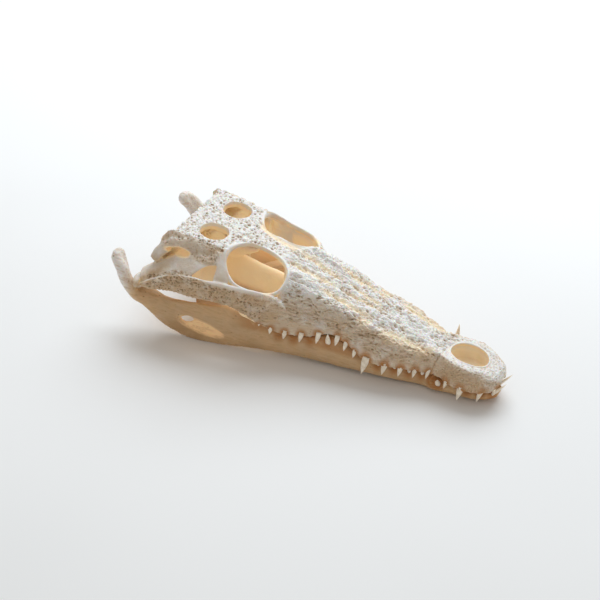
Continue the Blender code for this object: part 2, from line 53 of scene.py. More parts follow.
REST = (Matrix.Translation((TIP_X * MM, 0, -FLOOR * MM))
        @ Matrix.Rotation(REST_PITCH, 4, 'Y'))
FIRST_GRID = 0.9  # grid on which overlapping forms become one skin
CRANIUM_GRID, JAW_GRID = ((0.46, 0.6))  # grids of the finished skins
STEP = 2.0  # spacing of the sections of a tube
BAR_STEPS = 10  # sections of a bar from one of its points to the next
RAYS = 20  # rays from each point that find how closed in it lies
RAY_START, RAY_REACH = 0.0006, 0.045  # where a ray starts and ends, in metres
RING = 96  # points round a snout section
SIDES = (-1, 1)  # the animal's right and left

# Snout sections: s, then the midline height, the shoulder (y, z), the widest point (y, z)
# and the height of the tooth margin.
SNOUT = (
    (0.6, 10.5, 3.0, 10.0, 5.0, 8.0, 5.5),
    (3, 13.6, 7.0, 13.2, 12.0, 9.0, 3.4),
    (9, 16.4, 11.5, 16.2, 18.6, 9.2, 1.8),
    (18, 17.6, 16.5, 18.8, 23.4, 9.2, 1.0),
    (30, 18.4, 20.0, 20.6, 25.4, 9.2, 0.3),
    (42, 19.0, 18.8, 21.0, 23.4, 9.5, 0.0),
    (52, 19.2, 16.0, 21.2, 20.6, 10.0, 1.6),
    (60, 20.6, 16.5, 21.6, 21.6, 9.6, 1.4),
    (75, 23.4, 19.5, 22.8, 27.4, 8.6, 1.2),
    (92, 27.0, 23.5, 25.8, 33.0, 8.6, 0.8),
    (111, 30.8, 26.0, 28.6, 36.2, 9.4, 0.6),
    (130, 35.0, 25.5, 33.4, 35.6, 15.0, 8.6),
    (146, 38.2, 25.5, 37.6, 36.6, 19.5, 13.2),
    (160, 41.2, 26.0, 41.0, 39.0, 18.5, 6.8),
    (175, 44.6, 26.0, 44.4, 42.6, 17.0, 2.6),
    (190, 47.8, 25.5, 47.6, 47.2, 18.0, 2.0),
    (203, 50.6, 24.0, 50.4, 51.2, 20.0, 6.0),
)
NARIS = dict(s=33.0, y=0.0, half_s=17.0, half_y=13.8, power=2.1,
             levels=((7.0, 0.5), (8.5, 0.8), (12, 0.94), (17, 1.0), (90, 1.0)))
ORBIT = dict(s=222.0, y=33.0, half_s=26.6, half_y=21.4, power=2.1, turn=math.radians(9),
             levels=((12, 0.72), (26, 0.96), (34, 1.0), (90, 1.0)))
TABLE_HOLE = dict(s=270.7, y=20.5, half_s=12.8, half_y=12.4, power=2.2,
                  levels=((49, 0.9), (62, 1.0), (90, 1.0)))
# Hollow in the side of the jaw and the slit at its upper rear corner, as bars.
JAW_HOLLOW = (((236, 52.6, -18), (250, 55.0, -17.5), (266, 57.6, -15.5), (280, 59.6, -13.0)),
              ((1.5, 1.5), (6.5, 4.8), (6.0, 5.0), (2.0, 2.0)), (0, 1, 0))
JAW_SLIT = (((268, 64, -6.0), (277.5, 42, -23.2)), ((6.0, 2.8), (6.0, 2.8)), (0, 0, 1))

# Roof between the orbits and skull table: s, half width, top height.
ROOF = ((186, 25, 46.6), (200, 18.5, 50), (212, 13.0, 53), (224, 10.8, 55.4),
        (236, 11.8, 57.2), (243, 16.5, 58), (248, 27, 58.6), (256, 33, 59))
ROOF_DEPTH = 4.6
TABLE = ((246, 31, 58.4), (250, 36, 58.8), (262, 38.5, 59.6), (280, 39.5, 60.2),
         (294, 40.5, 60.4), (300, 40, 60))
TABLE_DEPTH = 6.4
# Brain case, and tube of the palatines and pterygoids: s, half width, lowest, highest.
BRAIN_CASE = ((236, 4.5, 42, 56), (248, 7, 34, 57), (262, 8.6, 26, 57.5), (280, 11.5, 18, 57.5),
              (292, 18, 10, 57), (300, 22, 12, 55), (305, 17, 20, 49))
TUBE = ((150, 15, 5, 32), (172, 13, 1, 27), (200, 12, -1, 27.5), (225, 12.5, -2, 28.5),
        (246, 13.5, -3, 30), (264, 13, -3, 32), (284, 11, -1, 30), (298, 9, 6, 26))
# Cheek bones (jugal and quadratojugal bar): s, y, half thickness, lowest, highest.
CHEEK = ((184, 40.0, 3.6, 6, 24), (196, 45.2, 4.0, 4.0, 36.5), (206, 50.4, 3.6, 8.4, 40.2),
         (217, 54.0, 3.2, 14.4, 41.0), (228, 56.6, 3.0, 18.8, 40.6), (240, 59.2, 3.0, 20.0, 40.8),
         (254, 61.0, 3.0, 18.8, 39.0), (268, 62.6, 3.0, 17.4, 37.4), (282, 64.0, 3.0, 17.4, 34.5),
         (297, 65.8, 3.0, 14.8, 27.0), (308, 66.8, 3.2, 12.6, 19.5), (314, 66.8, 2.8, 12.2, 15.6))
# Sheet that rises from the cheek to the quadrate: s, lower (y, z), upper (y, z).
SHEET = ((247, 46, 50, 38, 55), (256, 48, 47.5, 37, 56), (264, 53.5, 43, 38.5, 55),
         (270, 60, 36.5, 40, 53), (284, 64, 32, 43.5, 47.5), (299, 66, 21.5, 52, 34),
         (311, 67, 14.5, 60, 19))
SHEET_THICKNESS = 3.6
# Outer edge of the skull table, which bends down over the ear: s, lower (y, z), upper (y, z).
TABLE_EDGE = ((258, 40, 55.5, 36.5, 58), (270, 43.2, 52.4, 38, 58.6), (282, 45, 49.6, 39, 59),
              (294, 46, 48.4, 40, 59.2), (304, 46.4, 47.4, 41, 57), (308, 47.6, 43.6, 43.6, 52))
TABLE_EDGE_THICKNESS = 3.0
# Plates inside the cheek and under the table's holes: s, lower (y, z), upper (y, z).
INNER_PLATES = (((243, 46, 20, 41, 50), (252, 43, 12, 39, 52), (260, 40.4, 8, 38, 50),
                 (267, 39, 8, 37.6, 38), (271, 38.6, 14, 37.6, 28)),
                ((258, 30, 0, 27, 46), (270, 30, -1, 27, 46), (284, 29, 2, 26, 44),
                 (292, 28, 8, 26, 40)),
                ((274, 37.4, 40, 34, 54), (290, 38, 37, 35.5, 54), (303, 41, 33, 38.5, 52)),
                ((258, 9, 45, 33, 48.5), (270, 9, 43.5, 33, 47.5), (279.5, 10, 41.5, 33, 46)))
INNER_PLATE_THICKNESS = 2.4
ORBIT_RIM, NARIS_RIM = (1.2, 2.2), (0.8, 0.9)  # half width and height of the raised rims
ORBIT_RIM_SUNK = 1.3  # how far the orbits' rims are sunk into the bone
ORBIT_RIM_LOW, NARIS_RIM_LOW = 31, 12  # bone lower than this carries no rim
RIM_GROWTH = 1.03  # rims against the edges that they lie on
RIM_POINTS = 36  # points of a rim's path
RIM_TRIES, RIM_SHIFT = 16, 0.5  # how often and how far such a point moves out to find the bone
LEVELLING, ROUNDING = 12, 3  # rounds that even a rim's heights and its outline
ABOVE = 0.09  # a height over the whole skull, in metres
EAR = ((291, 45, 46.2), (14, 6.5, 4.0))  # hollow under the table's edge: middle and radii

# Long ridges (up) and hollows (down) of the snout's roof, one side: s and y of both ends,
# width and height.
SNOUT_RELIEF = ((131, 69, 12, 6.5, 2.2, 1.2), (66, 40, 12, 21, 2.0, 1.2), (57, 34, 4, 16, 1.6, 1.0),
                (114, 86, 25, 28.5, 2.4, 1.1), (106, 60, 22.5, 15.5, 4.0, -1.8),
                (198, 150, 22, 17, 2.6, 1.3), (196, 140, 30, 27, 2.2, 0.9),
                (200, 160, 10, 6, 3.0, -1.2), (165, 120, 20, 17, 3.0, -1.2),
                (150, 118, 6, 3, 2.0, -1.2), (140, 100, 16, 14, 1.8, 1.0), (96, 66, 27.5, 20.5, 1.8, 0.9),
                (128, 116, 25, 23, 3.0, -1.4), (154, 142, 18, 16, 3.0, -1.4))

# Bars of one side, each with the (s, y, z) points of its middle line, half its width and
# height at each point, and the direction that its height faces.
BARS = {
    "postorbital": (
        ((249, 34, 56.5), (247, 44.6, 50), (244, 53, 42), (241.5, 57, 32)),
        ((5.0, 3.6), (4.8, 3.0), (6.4, 3.0), (9.0, 3.0)), (0, 1, 1)),
    "quadrate": (
        ((262, 34, 50), (280, 39, 44), (300, 49.5, 29), (317, 57, 15)),
        ((6, 5.0), (7, 5.5), (9.5, 5.5), (11.5, 4.6)), (0, 0, 1)),
    "quadrate_inner": (
        ((281, 12, 34), (287, 28, 36), (296, 42, 31)),
        ((15, 6), (13, 5), (9, 5)), (0, 0, 1)),
    "squamosal": (
        ((260, 35, 55), (280, 38.5, 54.5), (296, 42.5, 51), (305.5, 47, 42),
         (310.5, 50.5, 32)),
        ((4, 3.6), (5, 4.4), (6, 5.4), (5, 5), (4, 4)), (0, 0, 1)),
    "paroccipital": (
        ((297, 8, 42), (302, 26, 41), (310.5, 49, 31)),
        ((5.5, 9), (4, 8), (3.4, 5.2)), (0, 0, 1)),
    "pterygoid": (
        ((262, 2, 6), (264, 20, 0), (262, 33, -7), (258, 41, -12)),
        ((26, 4), (18, 2.6), (13, 2.6), (9, 3.2)), (0, 0, 1)),
    "ectopterygoid": (
        ((206, 47.5, 9), (226, 43.5, 8), (244, 37.5, 0), (256, 36.5, -9)),
        ((4, 3), (4.6, 3), (5, 3), (6, 3)), (0, 0, 1)),
    "palate_shelf": (
        ((164, 32, 8), (185, 37, 8), (204, 44.5, 11), (218, 50, 18)),
        ((8, 5), (6.5, 4.5), (5, 4), (3.5, 3.5)), (0, 0, 1)),
}
BASE_OF_SKULL = (((298, 0, 26), (302, 0, 12), (302, 0, 6)), ((11, 5), (12, 4), (9, 3)), (1, 0, 0))
OCCIPUT = (((300, -34, 46), (301, 0, 46), (300, 34, 46)), ((2.6, 8), (2.6, 9), (2.6, 8)), (0, 0, 1))
# Round ends, as a middle (s, y, z) and three radii.
JAW_JOINT = ((319, 57.4, 10.4), (5.6, 11.4, 5.4))
NECK_JOINT = ((309.5, 0, 28), (7, 7.5, 6.5))

# Lower jaw, one side: s, outer y, inner y, y of the lower edge, lowest, highest.
JAW = ((1.5, 6.5, -0.6, 2.4, -8.4, -3.6), (8, 12.6, -0.6, 4.0, -10.6, -2.4),
       (18, 17.0, -0.6, 5.0, -12.8, -1.8), (32, 18.4, -0.6, 6.0, -15.0, -1.8),
       (43, 19.4, 0.8, 7.6, -16.2, -1.4), (53, 21.8, 6.6, 11.4, -16.9, -0.8),
       (63, 19.4, 9.0, 13.6, -17.0, -2.4), (84, 25.2, 14.4, 18.8, -17.3, -2.4),
       (100, 28.8, 18.8, 23.0, -17.7, -2.2), (117, 32.2, 22.4, 26.6, -18.3, -1.0),
       (132, 34.0, 25.0, 29.4, -19.2, 4.8), (146, 35.6, 27.0, 31.6, -20.2, 8.6),
       (158, 37.2, 29.0, 33.6, -20.8, 4.2), (172, 39.6, 31.6, 36.2, -21.4, -0.2),
       (190, 43.4, 35.2, 39.6, -23.0, -1.0), (207, 47.0, 38.6, 43.0, -24.8, 2.4),
       (222, 50.6, 41.6, 46.0, -27.4, 6.2), (239, 53.4, 45.0, 49.4, -30.4, 9.0),
       (253, 55.4, 47.4, 51.6, -32.6, 6.2), (265, 56.8, 49.0, 53.2, -33.8, 3.9),
       (281, 58.8, 50.2, 54.8, -32.0, 1.2), (296, 61.0, 50.0, 56.0, -27.0, -0.4),
       (306, 63.6, 48.8, 56.8, -18.8, 1.4), (314, 66.0, 47.8, 57.4, -11.6, 2.2),
       (321, 66.6, 48.4, 57.8, -5.4, 2.2), (328, 64.0, 50.4, 58.0, -1.0, 6.0))
# Retroarticular process, a bar behind the joint that rises and bends inward, and its round end.
SPUR_OUT, SPUR_UP = 0.87, 0.5  # the way across the bar's width, which rises outward
SPUR = (((311, 57, -9), (320, 60, -4.6), (328.5, 62.6, 7), (336.5, 60.6, 19), (344, 56.4, 26)),
        ((6, 5), (6.5, 5.4), (7.6, 5.8), (7.8, 5.6), (7.0, 5.4)), (0, -SPUR_UP, SPUR_OUT))
SPUR_END = ((343.4, 56.0, 26), (5.2, 6.6, 5.6))

# Teeth, one side: s, y, height of the root, length, radius, lean out, lean back.
UPPER_TEETH = (
    (4.5, 9.0, 4.4, 8.5, 1.7, 0.25, -0.1), (12.8, 17.8, 2.6, 12.0, 2.3, 0.2, 0.12),
    (29, 22.8, 1.6, 13.2, 2.9, 0.16, 0.05), (42.5, 21.6, 1.4, 8.0, 1.9, 0.14, 0.1),
    (60, 20.4, 2.8, 7.6, 1.7, 0.3, 0.05), (70.5, 23.6, 2.6, 9.0, 2.1, 0.16, 0.05),
    (82, 27.4, 2.4, 10.2, 2.4, 0.16, 0.05), (95, 31.2, 2.2, 11.6, 2.7, 0.16, 0.05),
    (111, 35.0, 2.4, 16.0, 3.3, 0.14, 0.08), (122, 34.8, 5.4, 6.6, 1.9, 0.2, 0.05),
    (131, 34.8, 9.6, 7.6, 2.0, 0.2, 0.05), (139, 35.4, 12.8, 8.6, 2.2, 0.16, 0.05),
    (155.5, 37.8, 9.6, 9.0, 2.2, 0.16, 0.05), (170, 40.6, 5.0, 7.6, 2.2, 0.16, 0.05),
    (184, 43.8, 3.4, 6.6, 2.1, 0.16, 0.0), (196, 46.8, 4.6, 5.6, 2.0, 0.16, 0.0),
    (206, 48.9, 9.2, 5.0, 1.9, 0.16, 0.0), (215, 51.0, 14.2, 4.4, 1.8, 0.16, 0.0),
)
LOWER_TEETH = (
    (6.0, 8.0, -5.4, 17.0, 1.8, -0.04, -0.66), (14, 13.6, -3.2, 3.6, 1.7, 0.0, 0.0),
    (24.5, 15.6, -3.0, 3.0, 1.6, 0.0, 0.0), (55, 20.9, -2.6, 27.0, 3.2, 0.61, 0.0),
    (65.5, 17.0, -3.6, 3.8, 1.7, 0.0, 0.0), (76.5, 20.0, -3.6, 3.8, 1.8, 0.0, 0.0),
    (88.5, 23.4, -3.6, 3.6, 1.9, 0.0, 0.0), (102, 27.0, -3.4, 3.2, 1.8, 0.0, 0.0),
    (147, 35.4, 6.0, 8.4, 2.4, 0.36, 0.0), (163, 34.2, 0.4, 3.6, 2.2, 0.0, 0.0),
    (177.5, 36.8, -2.6, 3.4, 2.1, 0.0, 0.0), (190.5, 39.6, -3.0, 3.2, 2.0, 0.0, 0.0),
)
TALL_TOOTH = LOWER_TEETH[3]
SHORT_TOOTH = (50, 20.0, -4.6, 3.4, 2.4, 0.4, 0.0)  # the same tooth on the right, broken
TOOTH_ROOT = 3.0  # how far a tooth runs into its jaw


def left_and_right(*bones):
    """Return the names of the nodes of paired bones."""
    return tuple(f"{bone}_{side}" for bone in bones for side in ("left", "right"))


CRANIUM_NODES = (left_and_right("premaxilla", "maxilla", "jugal", "quadrate")
                 + ("frontal", "palate", "braincase", "skull_table"))
JAW_NODES = left_and_right("dentary", "angular", "articular")


def new_object(name, data):
    """Return a new object in the scene."""
    obj = bpy.data.objects.new(name, data)
    bpy.context.scene.collection.objects.link(obj)
    return obj


# ---- curves and tubes ----

def smooth(stations, column):
    """Return a function of s that passes smoothly through one column of stations."""
    s = np.array([row[0] for row in stations], float)
    v = np.array([row[column] for row in stations], float)
    slope = np.gradient(v, s)

    def value(at):
        i = np.clip(np.searchsorted(s, at) - 1, 0, len(s) - 2)
        h = s[i + 1] - s[i]
        t = np.clip((at - s[i]) / h, 0.0, 1.0)
        a = (1 + 2 * t) * (1 - t) ** 2 * v[i] + t * (1 - t) ** 2 * h * slope[i]
        return a + t * t * (3 - 2 * t) * v[i + 1] + t * t * (t - 1) * h * slope[i + 1]
    return value


def sections(stations):
    """Yield rows like those of the stations, smoothly and evenly spaced along s."""
    first, last = stations[0][0], stations[-1][0]
    columns = [smooth(stations, c) for c in range(1, len(stations[0]))]
    for s in np.linspace(first, last, int(round((last - first) / STEP)) + 1):
        yield (s, *(column(s) for column in columns))


def closed_spline(points, count):
    """Return count points on a closed smooth curve through the given ones."""
    p = np.array(points, float)
    u = np.arange(count) * len(p) / count
    i = u.astype(int)
    t = (u - i)[:, None]
    a, b, c, d = (p[(i + j) % len(p)] for j in (-1, 0, 1, 2))
    return 0.5 * (2 * b + (c - a) * t + (2 * a - 5 * b + 4 * c - d) * t * t
                  + (3 * b - a - 3 * c + d) * t ** 3)


def oval(half_a, half_b, power=2.0, count=40):
    """Return a superellipse as rows (a, b)."""
    angle = 2 * np.pi * np.arange(count) / count
    c, s = np.cos(angle), np.sin(angle)
    return np.stack([half_a * np.sign(c) * np.abs(c) ** (2 / power),
                     half_b * np.sign(s) * np.abs(s) ** (2 / power)], 1)


def ring(s, pairs, y=0.0, z=0.0):
    """Return (a, b) rows as a ring of (s, y, z) points round a middle."""
    pairs = np.asarray(pairs)
    return np.stack([np.full(len(pairs), float(s)), y + pairs[:, 0], z + pairs[:, 1]], 1)


class Forms:
    """Closed tubes that overlap, to be made into one skin."""

    def __init__(self):
        self.points, self.faces = [], []

    def add(self, rings, side=1):
        """Add a tube through rings of (s, y, z) points, with flat ends."""
        rings = np.asarray(rings, float) * (1, side, 1)
        rows, n = rings.shape[:2]
        base = len(self.points)
        self.points += (rings.reshape(-1, 3) * (-MM, MM, MM)).tolist()
        for i in range(rows - 1):
            a, b = base + i * n, base + (i + 1) * n
            self.faces += [(a + k, a + (k + 1) % n, b + (k + 1) % n, b + k) for k in range(n)]
        self.faces.append(tuple(base + k for k in reversed(range(n))))
        self.faces.append(tuple(base + (rows - 1) * n + k for k in range(n)))

    def add_bar(self, bar, side=1, power=2.2):
        """Add a bar along a smooth path."""
        path, halves, up = bar
        p, h = np.array(path, float), np.array(halves, float)
        n = len(p)
        rings = []
        for u in np.arange((n - 1) * BAR_STEPS + 1) / BAR_STEPS:
            i = min(int(u), n - 2)
            t = u - i
            a, b, c, d = p[max(i - 1, 0)], p[i], p[i + 1], p[min(i + 2, n - 1)]
            m0, m1 = (c - a) / 2, (d - b) / 2
            centre = ((1 + 2 * t) * (1 - t) ** 2 * b + t * (1 - t) ** 2 * m0
                      + t * t * (3 - 2 * t) * c + t * t * (t - 1) * m1)
            along = (c - b) * (1 - t) * t * 6 + m0 * (1 - t) * (1 - 3 * t) + m1 * t * (3 * t - 2)
            across = np.cross(up, along)
            across /= np.linalg.norm(across)
            top = np.cross(along, across)
            top /= np.linalg.norm(top)
            pairs = oval(*(h[i] * (1 - t) + h[i + 1] * t), power)
            rings.append(centre + pairs[:, :1] * across + pairs[:, 1:] * top)
        self.add(rings, side)

    def add_ball(self, centre, radii, side=1):
        """Add an ellipsoid."""
        angles = np.linspace(0.02, np.pi - 0.02, 17)
        self.add([ring(centre[0] - radii[0] * math.cos(a),
                       oval(radii[1] * math.sin(a), radii[2] * math.sin(a)),
                       centre[1], centre[2]) for a in angles], side)

    def add_rim(self, path, half_width, half_height, side=1):
        """Add a tube along a closed smooth path."""
        centres = closed_spline(path, 5 * len(path))
        along = np.roll(centres, -1, 0) - np.roll(centres, 1, 0)
        along /= np.linalg.norm(along, axis=1)[:, None]
        across = np.cross((0, 0, 1), along)
        across /= np.linalg.norm(across, axis=1)[:, None]
        top = np.cross(along, across)
        pairs = oval(half_width, half_height, 2.0, 20)
        rings = [c + pairs[:, :1] * a + pairs[:, 1:] * t for c, a, t in zip(centres, across, top)]
        self.add(rings + rings[:2], side)

    def make(self, name):
        """Return the tubes as one object, each facing outward."""
        mesh = bpy.data.meshes.new(name)
        mesh.from_pydata(self.points, [], self.faces)
        bm = bmesh.new()
        bm.from_mesh(mesh)
        bmesh.ops.recalc_face_normals(bm, faces=bm.faces)
        bm.to_mesh(mesh)
        bm.free()
        return new_object(name, mesh)


# ---- skins ----

def apply_modifiers(obj):
    """Replace an object's mesh by what its modifiers make of it."""
    graph = bpy.context.evaluated_depsgraph_get()
    mesh = bpy.data.meshes.new_from_object(obj.evaluated_get(graph))
    obj.modifiers.clear()
    obj.data = mesh


def fuse(obj, grid, rounds):
    """Make one smooth skin of overlapping forms."""
    remesh = obj.modifiers.new("Fuse", 'REMESH')
    remesh.mode = 'VOXEL'
    remesh.voxel_size = grid * MM
    even = obj.modifiers.new("Even", 'SMOOTH')
    even.factor = 0.5
    even.iterations = rounds
    apply_modifiers(obj)


def cut(obj, other):
    """Take another object away, and remove it."""
    boolean = obj.modifiers.new("Cut", 'BOOLEAN')
    boolean.operation = 'DIFFERENCE'
    boolean.solver = 'EXACT'
    boolean.object = other
    apply_modifiers(obj)
    bpy.data.objects.remove(other)


def add_to(obj, other):
    """Add another object's closed forms to a skin that is fused again later, and remove it."""
    bm = bmesh.new()
    bm.from_mesh(obj.data)
    bm.from_mesh(other.data)
    bm.to_mesh(obj.data)
    bm.free()
    bpy.data.objects.remove(other)


# ---- forms of the cranium ----

def snout_ring(s, mid, shoulder_y, shoulder_z, wide_y, wide_z, margin):
    """Return the closed section of the snout at s."""
    half = [(0.5 * shoulder_y, 0.5 * (mid + shoulder_z)), (shoulder_y, shoulder_z),
            (0.55 * wide_y + 0.45 * shoulder_y + 0.8, 0.5 * (wide_z + shoulder_z) + 1.2),
            (wide_y, wide_z), (0.985 * wide_y, 0.4 * wide_z + 0.6 * margin),
            (0.965 * wide_y, margin), (0.84 * wide_y, margin + 1.2), (0.45 * wide_y, margin + 4.0)]
    loop = [(0, mid)] + half + [(0, margin + 4.6)] + [(-y, z) for y, z in reversed(half)]
    return ring(s, closed_spline(loop, RING))


def cheek_rings():
    """Return the sections of the cheek bones."""
    return [ring(s, oval(half, (high - low) / 2, 2.6), y, (low + high) / 2)
            for s, y, half, low, high in sections(CHEEK)]


def sheet_rings(stations, thickness):
    """Return flat oval sections between the lower and the upper (y, z) of each row."""
    rings = []
    for s, y0, z0, y1, z1 in sections(stations):
        length = math.hypot(y1 - y0, z1 - z0)
        u, w = (y1 - y0) / length, (z1 - z0) / length
        pairs = oval(length / 2 + 0.5 * thickness, thickness / 2, 2.4)
        turned = pairs @ np.array(((u, w), (-w, u)))
        rings.append(ring(s, turned, (y0 + y1) / 2, (z0 + z1) / 2))
    return rings


def add_roof(forms):
    """Add the roof between the orbits and the skull table."""
    for stations, depth in ((ROOF, ROOF_DEPTH), (TABLE, TABLE_DEPTH)):
        rings = []
        for s, half, top in sections(stations):
            pairs = oval(half, depth / 2, power=4.0, count=56)
            pairs[:, 1] += (pairs[:, 0] / half) ** 2   # the edges rise by 1 mm
            rings.append(ring(s, pairs, 0, top - depth / 2))
        forms.add(rings)


def add_core(forms):
    """Add the brain case, the occiput and the tube of the palate."""
    for stations, power in ((BRAIN_CASE, 2.6), (TUBE, 1.7)):
        forms.add([ring(s, oval(half, (high - low) / 2, power, 48), 0, (low + high) / 2)
                   for s, half, low, high in sections(stations)])
    forms.add_ball(*NECK_JOINT)
    forms.add_bar(BASE_OF_SKULL)
    forms.add_bar(OCCIPUT)


def edge_of(hole, count):
    """Return the outline of an opening of the roof as (s, y) rows from its middle."""
    c, s = math.cos(hole.get("turn", 0)), math.sin(hole.get("turn", 0))
    return oval(hole["half_s"], hole["half_y"], hole["power"], count) @ np.array(((c, s), (-s, c)))


def opening(hole, side):
    """Return a cutter with the rounded outline of an opening of the roof."""
    forms = Forms()
    outline = edge_of(hole, 64)
    forms.add([np.stack([hole["s"] + outline[:, 0] * grow, hole["y"] + outline[:, 1] * grow,
                         np.full(len(outline), float(z))], 1) for z, grow in hole["levels"]], side)
    return forms.make("opening")


def make_cranium():
    """Return the cranium as one plain skin."""
    forms = Forms()
    forms.add([snout_ring(*row) for row in sections(SNOUT)])
    add_roof(forms)
    add_core(forms)
    for side in SIDES:
        forms.add(cheek_rings(), side)
        forms.add(sheet_rings(SHEET, SHEET_THICKNESS), side)
        forms.add(sheet_rings(TABLE_EDGE, TABLE_EDGE_THICKNESS), side)
        for plate in INNER_PLATES:
            forms.add(sheet_rings(plate, INNER_PLATE_THICKNESS), side)
        for bar in BARS.values():
            forms.add_bar(bar, side)
        forms.add_ball(*JAW_JOINT, side)
    cranium = forms.make("cranium")
    fuse(cranium, FIRST_GRID, rounds=2)
    rims = make_rims(cranium)
    for side in SIDES:
        cut(cranium, opening(ORBIT, side))
        cut(cranium, opening(TABLE_HOLE, side))
        ear = Forms()
        ear.add_ball(*EAR, side)
        cut(cranium, ear.make("ear"))
    cut(cranium, opening(NARIS, 1))
    add_to(cranium, rims)
    return cranium


def lay_on(tree, hole, lowest, side):
    """Return the edge of an opening laid on a skin, moved out to where that is high enough."""
    path = []
    for a, b in edge_of(hole, RIM_POINTS) * RIM_GROWTH:
        s, y = hole["s"] + a, hole["y"] + b
        for _ in range(RIM_TRIES):
            spot = tree.ray_cast(Vector((-s * MM, side * y * MM, ABOVE)), Vector((0, 0, -1)))[0]
            if spot and spot.z / MM > lowest:
                path.append((s, y, spot.z / MM))
                break
            y += math.copysign(RIM_SHIFT, b)
    path = np.array(path)
    for k in range(LEVELLING):
        even = 0.5 * path + 0.25 * (np.roll(path, 1, 0) + np.roll(path, -1, 0))
        path[:, 2] = even[:, 2]
        if k < ROUNDING:
            path = even
    return path


def make_rims(cranium):
    """Return the thin raised rims of the orbits and the naris."""
    tree = BVHTree.FromPolygons([vert.co for vert in cranium.data.vertices],
                                [face.vertices for face in cranium.data.polygons])
    forms = Forms()
    for side in SIDES:
        forms.add_rim(lay_on(tree, ORBIT, ORBIT_RIM_LOW, side) - (0, 0, ORBIT_RIM_SUNK), *ORBIT_RIM, side)
    forms.add_rim(lay_on(tree, NARIS, NARIS_RIM_LOW, 1), *NARIS_RIM)
    return forms.make("rims")


# ---- forms of the lower jaw ----

def jaw_rings():
    """Return the sections of one half of the lower jaw."""
    rings = []
    for s, o, i, k, z0, z1 in sections(JAW):
        tall = z1 - z0
        half = [(o - 0.28 * (o - i), z1), (o, z1 - 0.34 * tall), (0.86 * o + 0.14 * k, z0 + 0.24 * tall),
                (k, z0), (0.72 * i + 0.28 * k, z0 + 0.26 * tall), (i, z1 - 0.26 * tall),
                (i + 0.24 * (o - i), z1)]
        rings.append(ring(s, closed_spline(half, 64)))
    return rings


def make_jaw():
    """Return the lower jaw as one plain skin."""
    forms = Forms()
    for side in SIDES:
        forms.add(jaw_rings(), side)
        forms.add_bar(SPUR, side)
        forms.add_ball(*SPUR_END, side)
    jaw = forms.make("lower_jaw")
    fuse(jaw, FIRST_GRID, rounds=2)
    for bar in (JAW_HOLLOW, JAW_SLIT):
        for side in SIDES:
            cutter = Forms()
            cutter.add_bar(bar, side, 2.0)
            cut(jaw, cutter.make("jaw_hole"))
    return jaw


# ---- repeatable noise ----

def chance(cell, seed):
    """Return a repeatable number from 0 to 1 for each row of whole numbers."""
    n = (cell.astype(np.int64) * (73856093, 19349663, 83492791)).sum(-1) + seed * 974634721
    n = (n ^ (n >> 15)) * 2246822519 & 0xFFFFFFFF
    n = (n ^ (n >> 13)) * 3266489917 & 0xFFFFFFFF
    return (n ^ (n >> 16)) / 2.0 ** 32


def blend(p, ease, value):
    """Return the values of the eight corners of each point's cell, blended with ease."""
    base = np.floor(p)
    t = p - base
    eased = ease(t)
    total = np.zeros(len(p))
    for corner in itertools.product((0, 1), repeat=3):
        share = np.prod(np.where(corner, eased, 1 - eased), axis=1)
        total += share * value(base + corner, t - corner)
    return total


def chances(cell, seed):
    """Return three repeatable numbers from 0 to 1 for each cell."""
    return np.stack([chance(cell, seed + k) for k in range(3)], 1)


def drift(p, seed):
    """Return smooth noise from -1 to 1 with features about one unit apart."""
    return 2 * blend(p, lambda t: t * t * (3 - 2 * t), lambda cell, away: chance(cell, seed)) - 1


def waves(p, seed):
    """Return gradient noise from about -1 to 1 with features about one unit apart."""
    return 1.6 * blend(p, lambda t: t * t * t * (t * (t * 6 - 15) + 10),
                       lambda cell, away: (away * (chances(cell, seed) * 2 - 1)).sum(1))


def bend(p, seed):
    """Return a smooth shift of each point, up to one unit each way."""
    return np.stack([drift(p, seed + k) for k in range(3)], 1)


def crests(p, seed, warp=0.3):
    """Return winding crests: 1 on each crest and 0 in the furrows between them."""
    q = p + warp * bend(p * 0.8, seed + 20)
    return 1 - np.clip(2.6 * np.abs(waves(q, seed)), 0, 1)


def within(mask, p, field):
    """Return a field where a mask is open, and 0 elsewhere."""
    value = np.zeros(len(mask))
    inside = mask > 0.01
    value[inside] = field(p[inside])
    return value


def cells(p, seed):
    """Return the distances to the nearest two scattered points, and the nearest one's number."""
    base = np.floor(p)
    near = np.full(len(p), 9.0)
    second = near.copy()
    tag = np.zeros(len(p))
    for step in itertools.product((-1, 0, 1), repeat=3):
        cell = base + step
        spot = cell + chances(cell, seed)
        d = np.linalg.norm(p - spot, axis=1)
        closer = d < near
        second = np.where(closer, near, np.minimum(second, d))
        tag = np.where(closer, chance(cell, seed + 3), tag)
        near = np.minimum(near, d)
    return near, second, tag


def ramp(value, low, high):
    """Return 0 below low, 1 above high and a smooth rise between."""
    t = np.clip((value - low) / (high - low), 0, 1)
    return t * t * (3 - 2 * t)


def fall(value, low, high):
    """Return 1 below low, 0 above high and a smooth fall between."""
    return 1 - ramp(value, low, high)


def bell(value, middle, width):
    """Return 1 at the middle and a smooth fall to 0 on both sides."""
    return np.exp(-((value - middle) / width) ** 2)


# ---- sculpture of the surfaces ----

def points_of(mesh):
    """Return a mesh's points as rows of numbers."""
    flat = np.empty(len(mesh.vertices) * 3, np.float32)
    mesh.vertices.foreach_get("co", flat)
    return flat.reshape(-1, 3)


